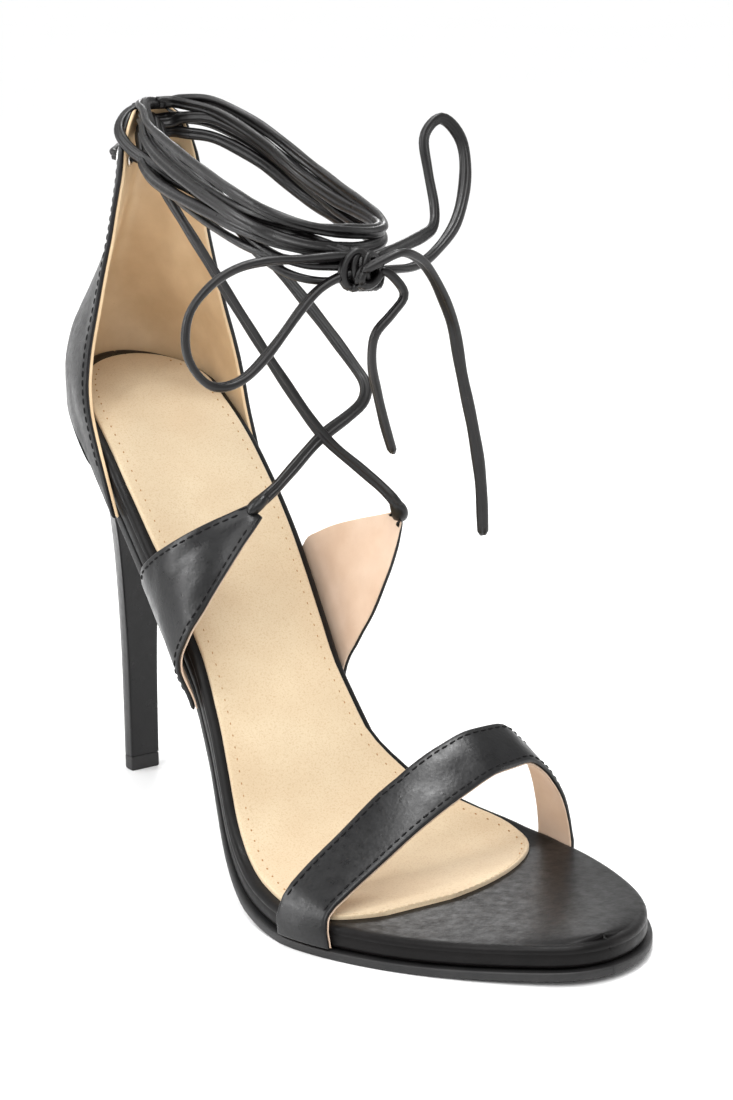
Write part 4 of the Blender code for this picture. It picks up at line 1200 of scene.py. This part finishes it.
def on_sock(side, along, inset):
    """A point on top of the sock, in from its edge, with the direction up."""
    x, where = sock_edge(side, along, -inset)
    bottom, stretch = underside(where, x)
    top = BOARD_THICKNESS + SOCK_GAP + SOCK_THICKNESS
    return np.array(place(x, where, bottom + stretch * top)), np.array((0.0, 0.0, 1.0))


def build_sock():
    """The sock with its round front end, the seam along that end and the pricks of its sides."""
    start = SOCK_FRONT - SOCK_LATERAL_CORNER
    places = [along for along in fine_stations() if along < start - SOCK_CLEAR]
    places += [start + SOCK_LATERAL_CORNER * sin(radians(angle)) for angle in SOCK_TURNS]
    sections = fine_slab(places, sock_edge, FINE_SOCK_RIM, BOARD_THICKNESS + SOCK_GAP, SOCK_THICKNESS)
    add_piece("sock_lining_sheet", *lofted(sections), FINISHES["sock"], "sock", ["sock_lining"], True)
    turns = [radians(angle) for angle in SOCK_SEAM_TURNS]
    lateral, medial = ([on_sock(side, SOCK_FRONT - corner * (1 - sin(turn)), SOCK_SEAM_INSET)
                        for turn in turns]
                       for side, corner in ((LATERAL, SOCK_LATERAL_CORNER), (MEDIAL, SOCK_MEDIAL_CORNER)))
    stitch_row("sock_front_seam", lateral + medial[::-1], FINISHES["sock"], "sock", **SOCK_SEAM)
    for side, name in ((LATERAL, "lateral"), (MEDIAL, "medial")):
        line = [on_sock(side, along, PRICKS_INSET)
                for along in np.arange(PRICKS_START, start, PRICKS_POINT_STEP)]
        stitch_row("sock_pricks_" + name, line, FINISHES["prick"], "sock", **PRICKS)


# The heel


# How many steps each side and the breast of a heel section take, how often its corners are
# smoothed, how many sections there are, and how far the wrap goes into the gap at the seat
HEEL_SIDE_STEPS = 22
BREAST_STEPS = 16
HEEL_SMOOTHINGS = 3
HEEL_SECTIONS = 60
HEEL_REACH = 0.25 * MM

# The top piece under the heel. height: below zero it is measured down from its top.
TOP_PIECE = (
    (0.0, 0.94), (0.25 * MM, 0.985), (0.6 * MM, 1.0), (-0.9 * MM, 1.0), (-0.4 * MM, 0.99),
    (-0.2 * MM, 0.95),
)


def fine_ring(share_width, share_back, share_front, up):
    """One D-shaped section of the heel, finer than the solid's and with rounded corners."""
    shares = [i / HEEL_SIDE_STEPS for i in range(HEEL_SIDE_STEPS + 1)]
    radius = TIP_WIDTH / 2
    sides = {}
    for side in (LATERAL, MEDIAL):
        arc = [(TIP_X + side * radius * sin(radians(angle)),
                TIP_BACK_ALONG + radius * (1 - cos(radians(angle)))) for angle in range(0, 91, 5)]
        seat = spread(side_path(side, COUNTER_WALL + CUP_FIT, BREAST_ALONG), shares)
        tip = spread(arc + [(TIP_X + side * radius, TIP_BACK_ALONG + TIP_DEPTH)], shares)
        points = []
        for seat_point, tip_point in zip(seat, tip):
            forward = (tip_point[1] - TIP_BACK_ALONG) / TIP_DEPTH
            growth = share_back + (share_front - share_back) * forward
            points.append((tip_point[0] + (seat_point[0] - tip_point[0]) * share_width,
                           tip_point[1] + (seat_point[1] - tip_point[1]) * growth))
        sides[side] = points
    lateral, medial = sides[LATERAL][::-1], sides[MEDIAL][1:]
    a, b = medial[-1], lateral[0]
    breast = []
    for i in range(1, BREAST_STEPS):
        share = (1 - cos(pi * i / BREAST_STEPS)) / 2
        hollow = BREAST_HOLLOW * share_width * 4 * share * (1 - share)
        breast.append((a[0] + (b[0] - a[0]) * share, a[1] + (b[1] - a[1]) * share - hollow))
    plan = np.array(lateral + medial + breast)
    for _ in range(HEEL_SMOOTHINGS):
        plan = (np.roll(plan, 1, axis=0) + 2 * plan + np.roll(plan, -1, axis=0)) / 4
    ring = []
    for x, along in plan:
        seat, stretch = underside(along, x)
        seat -= (LAYER_FIT - HEEL_REACH) * stretch
        ring.append(place(x, along, TIP_HEIGHT + (seat - TIP_HEIGHT) * up))
    return ring


def build_heel():
    """The wrapped heel and the top piece under it."""
    width, back, front = table_curves(HEEL_ROWS, "up", "width", "back", "front")
    rows = [i / HEEL_SECTIONS for i in range(HEEL_SECTIONS + 1)]
    sections = [fine_ring(width(up), back(up), front(up), up) for up in rows]
    add_piece("heel_wrapped", *lofted(sections), FINISHES["heel"], "upper_leather", ["heel"], True)
    ring = fine_ring(0.0, 0.0, 0.0, 0.0)
    centre = sum(ring, Vector()) / len(ring)
    sections = []
    for height, size in TOP_PIECE:
        level = height if height >= 0 else TIP_HEIGHT + height
        sections.append([Vector((centre.x + (p.x - centre.x) * size,
                                 centre.y + (p.y - centre.y) * size, level)) for p in ring])
    add_piece("heel_top_piece", *lofted(sections), FINISHES["sole"], "sole", ["heel_tip"], True)


# The upper


def two_layers(name, grid, wall, node, lining):
    """Leather outside and a lining inside it, on the points of a piece's inner face.

    wall is below zero where the grid's normals point into the shoe.
    """
    inner = wall - copysign(LEATHER, wall)
    leather = add_piece(name + "_leather", *shell(grid, inner, wall), FINISHES["leather"],
                        "upper_leather", [node])
    return leather, add_piece(name + "_lining", *shell(grid, 0.0, inner), FINISHES[lining], "sock")


def edge_seams(name, grid, edges, span, inset, wall):
    """A row of stitches in from each of a piece's edges, over a span of it, on its outer face."""
    for edge, label in edges:
        line = inset_line(grid, *span, edge, inset, wall)
        stitch_row(name + "_seam_" + label, line, FINISHES["thread"], "upper_leather")


def cut_hole(piece, centre, axis, radius, depth):
    """Cut a round hole through a piece."""
    shape = bmesh.new()
    bmesh.ops.create_cone(shape, cap_ends=True, segments=HOLE_SIDES, radius1=radius, radius2=radius,
                          depth=depth)
    data = bpy.data.meshes.new(piece.name + "_hole")
    shape.to_mesh(data)
    shape.free()
    cutter = bpy.data.objects.new(data.name, data)
    bpy.context.scene.collection.objects.link(cutter)
    cutter.location = centre
    cutter.rotation_mode = "QUATERNION"
    cutter.rotation_quaternion = Vector((0, 0, 1)).rotation_difference(axis)
    cutter.hide_render = True
    cutter.display_type = "WIRE"
    hole = piece.modifiers.new("hole", "BOOLEAN")
    hole.operation = "DIFFERENCE"
    hole.solver = "EXACT"
    hole.object = cutter


def cup_grid():
    """Points on the cup's inner face, from its lower edge to its peak."""
    grid = []
    shares = [j / CUP_SIDE_COLUMNS for j in range(CUP_SIDE_COLUMNS, 0, -1)]
    for i in range(CUP_LEVELS + 1):
        up = (i / CUP_LEVELS) ** CUP_CROWDING
        row = [cup_point(LATERAL, share, up) for share in shares]
        row.append(cup_point(LATERAL, 0.0, up))
        row += [cup_point(MEDIAL, share, up) for share in shares[::-1]]
        grid.append(row)
    return grid


# The back seam: how far its ridge goes into the wall, and half its width and its height
RIDGE_SUNK = 0.10 * MM
RIDGE_WIDE = 0.75 * MM
RIDGE_TALL = 0.38 * MM

# Soft creases of the cup, near its wings and below its eyelets
CUP_CREASES = (
    Crease((0.02, 0.10), (0.16, 0.22), 2.6, -0.35),
    Crease((0.04, 0.16), (0.20, 0.27), 2.4, 0.22),
    Crease((0.30, 0.06), (0.48, 0.16), 4.0, -0.30),
    Crease((0.03, 0.88), (0.16, 0.79), 2.6, -0.30),
    Crease((0.55, 0.80), (0.68, 0.92), 3.6, -0.28),
)
CUP_SEAM_INSET = 2.2 * MM


def build_counter():
    """The heel cup: leather outside, lining inside, a stitched edge and two eyelets."""
    grid = creased(cup_grid(), CUP_CREASES, -1.0)
    layers = two_layers("counter", grid, -COUNTER_WALL, "upper_counter", "counter_lining")
    for side in (LATERAL, MEDIAL):
        point, axis = eyelet_place(side)
        for piece in layers:
            cut_hole(piece, point + axis * COUNTER_WALL / 2, axis, EYELET_BORE + EYELET_TUBE,
                     4 * COUNTER_WALL)
    edges = (("first_column", "lateral"), ("last_column", "medial"))
    edge_seams("counter", grid, edges, (0.05, 0.90), CUP_SEAM_INSET, -COUNTER_WALL)
    build_back_seam(grid)
    build_eyelets()


def build_back_seam(grid):
    """The ridge down the middle of the cup's back, where its two halves are sewn together."""
    middle = CUP_SIDE_COLUMNS
    side = np.array((1.0, 0.0, 0.0))
    sections = []
    for point, normal in zip(grid[1:-1, middle], unit_normals(grid)[1:-1, middle]):
        centre = point - normal * (COUNTER_WALL - RIDGE_SUNK)
        sections.append([centre + (side * RIDGE_WIDE * cos(angle) - normal * RIDGE_TALL * sin(angle))
                         for angle in np.radians(np.arange(0, 360, 30))])
    add_piece("counter_back_seam", *lofted(sections), FINISHES["leather"], "upper_leather")


# An eyelet in profile, out from its bore or in from its flange's edge, and up from the cup's
# inner face. Its rolled flange stands on the outer face.
EYELET_WASHER = (
    ("bore", 0.0, -0.5 * MM), ("bore", 0.25 * MM, -0.75 * MM), ("flange", -0.4 * MM, -0.55 * MM),
    ("flange", -0.3 * MM, -0.2 * MM), ("bore", EYELET_TUBE, -0.05 * MM),
)
EYELET_PROUD = 0.15 * MM
EYELET_ROLL = 0.85 * MM
ROLL_FULLNESS = 0.8


def build_eyelets():
    """Turned eyelets: a rolled flange outside, a tube through the wall and a washer inside."""
    edges = {"bore": EYELET_BORE, "flange": EYELET_BORE + EYELET_FLANGE}
    face = COUNTER_WALL + EYELET_PROUD
    profile = [(edges[edge] + out, height) for edge, out, height in EYELET_WASHER]
    profile.append((EYELET_BORE + EYELET_TUBE, face))
    profile += [(EYELET_BORE + EYELET_FLANGE * (0.5 - 0.5 * cos(radians(angle))),
                 face + EYELET_ROLL * sin(radians(angle)) ** ROLL_FULLNESS)
                for angle in range(180, -1, -15)]
    count = len(profile)
    for side, name in ((LATERAL, "eyelet_lateral"), (MEDIAL, "eyelet_medial")):
        point, axis = eyelet_place(side)
        turn = Vector((0, 0, 1)).rotation_difference(axis)
        rings = []
        for i in range(EYELET_SIDES):
            angle = 2 * pi * i / EYELET_SIDES
            rings.append([point + turn @ Vector((r * cos(angle), r * sin(angle), h)) for r, h in profile])
        vertices, faces = lofted(rings)
        last = len(vertices) - count
        faces = faces[2:] + [(last + i, last + (i + 1) % count, (i + 1) % count, i)
                             for i in range(count)]
        add_piece(name + "_nickel", vertices, faces, FINISHES["nickel"], "eyelet_metal", [name])


def fine_row(rear, front, crest, out, columns):
    """Points from a strap's rear edge to its front edge, crowned between them."""
    return [rear.lerp(front, i / columns) + out * crest * 4 * (i / columns) * (1 - i / columns)
            for i in range(columns + 1)]


def band_grid():
    """Points on the toe band's inner face, from its outer foot to its inner one."""
    curves = table_curves(TOE_BAND, "across", "rear_rise", "front_rise", "rear", "front")

    def across(side_share, along, rise):
        outer = edge_point(LATERAL, along, CUP_FIT)[0]
        inner = edge_point(MEDIAL, along, CUP_FIT)[0]
        x = outer + (inner - outer) * side_share
        return place(x, along, underside(along, x)[0] + STRAP_SEAT + rise * TOE_STRAP_RISE)

    knots = [row.across for row in TOE_BAND]
    shares = []
    for a, b in zip(knots, knots[1:]):
        steps = 2 if b - a < 0.06 else 5
        shares += [a + (b - a) * i / steps for i in range(steps)]
    grid = []
    for share in shares + [1.0]:
        rear_rise, front_rise, rear, front = (curve(share) for curve in curves)
        row = fine_row(across(share, rear * SHOE_LENGTH, rear_rise),
                       across(share, front * SHOE_LENGTH, front_rise),
                       STRAP_CREST, Vector((0, 0, 1)) * min(rear_rise, 1), BAND_COLUMNS)
        if rear_rise < STRAP_PINNED:
            side = LATERAL if share < 0.5 else MEDIAL
            row = [Vector((edge_point(side, REST_ALONG - point.y, CUP_FIT)[0], point.y, point.z))
                   for point in row]
        grid.append(row)
    return grid


# Soft creases of the straps
BAND_CREASES = (
    Crease((0.34, 0.0), (0.40, 0.62), 2.2, -0.30),
    Crease((0.42, 0.0), (0.46, 0.45), 1.8, 0.16),
    Crease((0.52, 1.0), (0.47, 0.55), 2.0, -0.20),
    Crease((0.74, 0.0), (0.70, 0.55), 2.2, -0.20),
    Crease((0.80, 1.0), (0.76, 0.50), 2.0, -0.22),
)
LATERAL_FLAP_CREASES = (
    Crease((1.0, 0.50), (0.45, 0.30), 2.2, -0.45),
    Crease((0.95, 0.80), (0.55, 0.70), 1.8, 0.20),
    Crease((0.30, 0.05), (0.12, 0.55), 2.4, -0.25),
)
MEDIAL_FLAP_CREASES = (
    Crease((1.0, 0.50), (0.50, 0.62), 2.2, -0.40),
    Crease((0.62, 0.12), (0.36, 0.40), 2.4, -0.25),
)


def build_toe_band():
    """The band over the toes: leather outside, lining inside, and a seam along each edge."""
    grid = creased(band_grid(), BAND_CREASES)
    two_layers("toe_band", grid, STRAP_WALL, "upper_toe_strap", "strap_lining")
    edges = (("last_column", "front"), ("first_column", "rear"))
    edge_seams("toe_band", grid, edges, (0.10, 0.90), BAND_SEAM_INSET, STRAP_WALL)


# How much of a flap's height stands straight up from the board, how closely its lowest rows
# keep over their foot, and the width that STRAP_CREST is given for
FLAP_PINNED = 0.2
FLAP_KEPT = 0.6
FLAP_SPAN = 24 * MM


def flap_grid(side, table, base_front):
    """Points on a flap's inner face, from the board's edge up to its point."""
    base = []
    for i in range(FLAP_COLUMNS + 1):
        x, along = edge_point(side, FLAP_REAR + (base_front - FLAP_REAR) * i / FLAP_COLUMNS, CUP_FIT)
        base.append(place(x, along, underside(along, x)[0]))
    knots = [i / len(table) for i in range(len(table) + 1)]
    rears = [base[0]] + [place(row.rear_x * BALL_WIDTH, row.rear * SHOE_LENGTH, row.rear_up * HEEL_HEIGHT)
                         for row in table]
    fronts = [base[-1]] + [place(row.front_x * BALL_WIDTH, row.front * SHOE_LENGTH,
                                 row.front_up * HEEL_HEIGHT) for row in table]
    rear, front = ([smooth_table(knots, [point[i] for point in line]) for i in range(3)]
                   for line in (rears, fronts))
    grid = [base]
    for k in range(1, FLAP_ROWS + 1):
        share = k / FLAP_ROWS
        a, b = (Vector([curve(share) for curve in line]) for line in (rear, front))
        crest = STRAP_CREST * (b - a).length / FLAP_SPAN
        row = fine_row(a, b, crest, Vector((side, 0, 0)), FLAP_COLUMNS)
        pinned = max(1 - share / FLAP_PINNED, 0.0)
        grid.append([point.lerp(low + Vector((0, 0, point.z - low.z)), pinned * FLAP_KEPT)
                     for point, low in zip(row, base)])
    return grid


def build_flap(name, side, table, base_front, node, creases):
    """A three-cornered side flap: leather outside, lining inside, and a seam along each edge."""
    wall = -side * STRAP_WALL
    grid = creased(flap_grid(side, table, base_front), creases, -side)
    two_layers(name, grid, wall, node, "strap_lining")
    edges = (("first_column", "first"), ("last_column", "last"))
    edge_seams(name, grid, edges, (0.08, 0.92), FLAP_SEAM_INSET, wall)


# Floor, light and camera


# How bright the surroundings are at the horizon and higher up, and the heights between which
# they fade
HORIZON_LIGHT = 1.0
FADE_FROM, FADE_TO = 0.12, 0.45
WORLD_LIGHT = 0.60
SUN_LIGHT = 1.75
SUN_SPREAD = 50.0
SUN_TURN = (24.0, -20.0, 0.0)

# name, place, aim, size, watts
LIGHTS = (
    ("key", (-0.85, -0.35, 0.70), (0.0, 0.05, 0.08), (0.12, 0.7), 2.2),
    ("fill", (0.95, -0.55, 0.45), (0.0, 0.05, 0.08), (0.12, 0.9), 1.6),
    ("top", (0.05, 0.65, 0.95), (0.0, 0.05, 0.05), (0.9, 0.12), 1.6),
    ("above", (0.10, 0.05, 0.90), (0.0, 0.0, 0.03), (0.16, 0.30), 3.2),
    ("strip", (-0.75, 0.45, 0.25), (0.0, 0.1, 0.1), (0.1, 0.8), 2.4),
    ("left", (-0.66, 0.52, 0.60), (-0.02, 0.08, 0.07), (0.16, 0.5), 2.4),
    ("back", (0.62, 0.95, 0.46), (0.0, 0.0, 0.03), (0.22, 0.20), 0.9),
)

FLOOR_REACH = 80.0


def build_stage():
    """A plain pale floor under soft light."""
    finish = Finish("floor_paint", 0.35, Specular_IOR_Level=0.35)
    colour = finish.blend(finish.noise(300.0, 2.0), tint(250, 250, 250), tint(252, 252, 252))
    data = bpy.data.meshes.new("floor")
    corners = [(x * FLOOR_REACH, y * FLOOR_REACH, 0) for x, y in ((-1, -1), (1, -1), (1, 1), (-1, 1))]
    data.from_pydata(corners, [], [(0, 1, 2, 3)])
    data.materials.append(finish.done(colour))
    floor = bpy.data.objects.new("floor", data)
    bpy.context.scene.collection.objects.link(floor)
    light_world()
    sun = bpy.data.lights.new("window", "SUN")
    sun.energy, sun.angle = SUN_LIGHT, radians(SUN_SPREAD)
    light = bpy.data.objects.new("window", sun)
    light.rotation_euler = [radians(turn) for turn in SUN_TURN]
    bpy.context.scene.collection.objects.link(light)
    for name, spot, aim, size, power in LIGHTS:
        lamp = bpy.data.lights.new(name, "AREA")
        lamp.shape = "RECTANGLE"
        lamp.size, lamp.size_y = size
        lamp.energy = power
        light = bpy.data.objects.new(name, lamp)
        light.location = spot
        light.rotation_mode = "QUATERNION"
        light.rotation_quaternion = (Vector(aim) - Vector(spot)).to_track_quat("-Z", "Y")
        bpy.context.scene.collection.objects.link(light)


def light_world():
    """White surroundings, brighter at the horizon than above."""
    world = bpy.data.worlds.new("studio")
    world.use_nodes = True
    nodes, links = world.node_tree.nodes, world.node_tree.links
    nodes["Background"].inputs[0].default_value = (1.0, 1.0, 1.0, 1.0)
    heading = nodes.new("ShaderNodeTexCoord")
    height = nodes.new("ShaderNodeSeparateXYZ")
    fade = nodes.new("ShaderNodeMapRange")
    links.new(heading.outputs["Generated"], height.inputs[0])
    links.new(height.outputs["Z"], fade.inputs["Value"])
    ends = {"From Min": FADE_FROM, "From Max": FADE_TO, "To Min": HORIZON_LIGHT, "To Max": WORLD_LIGHT}
    for label, value in ends.items():
        fade.inputs[label].default_value = value
    links.new(fade.outputs["Result"], nodes["Background"].inputs[1])
    bpy.context.scene.world = world
    bpy.context.scene.view_settings.view_transform = "Standard"


def build_camera():
    """The photo's view of the shoe."""
    angles = (CAMERA_AZIMUTH, CAMERA_ELEVATION, CAMERA_ROLL)
    azimuth, elevation, roll = (radians(angle) for angle in angles)
    back = Vector((sin(azimuth) * cos(elevation), -cos(azimuth) * cos(elevation), sin(elevation)))
    right = Vector((cos(azimuth), sin(azimuth), 0))
    up = right.cross(-back)
    level_right = cos(roll) * right + sin(roll) * up
    level_up = -sin(roll) * right + cos(roll) * up
    turn = Matrix((level_right, level_up, back)).transposed().to_4x4()
    turn.translation = Vector(CAMERA_TARGET) * MM + back * CAMERA_DISTANCE
    data = bpy.data.cameras.new("camera")
    data.sensor_width = SENSOR
    data.lens = FOCAL_PIXELS * SENSOR / PHOTO_HEIGHT
    data.clip_start = CAMERA_NEAR
    camera = bpy.data.objects.new("camera", data)
    camera.matrix_world = turn
    bpy.context.scene.collection.objects.link(camera)
    bpy.context.scene.camera = camera


FINISHES = {
    "leather": black_leather("upper_leather", tint(7, 7, 8), tint(13, 13, 15), 0.34),
    "board": black_leather("board_leather", tint(9, 8, 8), tint(17, 15, 15), 0.40, 1.0, 0.035,
                           shine=0.16, coat=0.0),
    "heel": black_leather("heel_leather", tint(8, 8, 9), tint(15, 14, 15), 0.34, 0.9, 0.035),
    "sock": suede_sock(),
    "counter_lining": pored_lining("counter_lining", tint(222, 195, 158), tint(206, 177, 139)),
    "strap_lining": pored_lining("strap_lining", tint(216, 192, 171), tint(204, 176, 152)),
    "lace": lace_leather(),
    "sole": moulded("sole_rubber", tint(26, 26, 27), tint(38, 37, 37), 0.5, 0.35),
    "thread": sewing_thread(),
    "nickel": nickel(),
    "prick": pricked(),
}

build_camera()
build_cords()
build_laces()
build_sole()
build_heel()
build_counter()
build_toe_band()
build_flap("flap_lateral", LATERAL, LATERAL_FLAP, LATERAL_FLAP_FRONT, "upper_side_strap_lateral",
           LATERAL_FLAP_CREASES)
build_flap("flap_medial", MEDIAL, MEDIAL_FLAP, MEDIAL_FLAP_FRONT, "upper_side_strap_medial",
           MEDIAL_FLAP_CREASES)
build_stage()
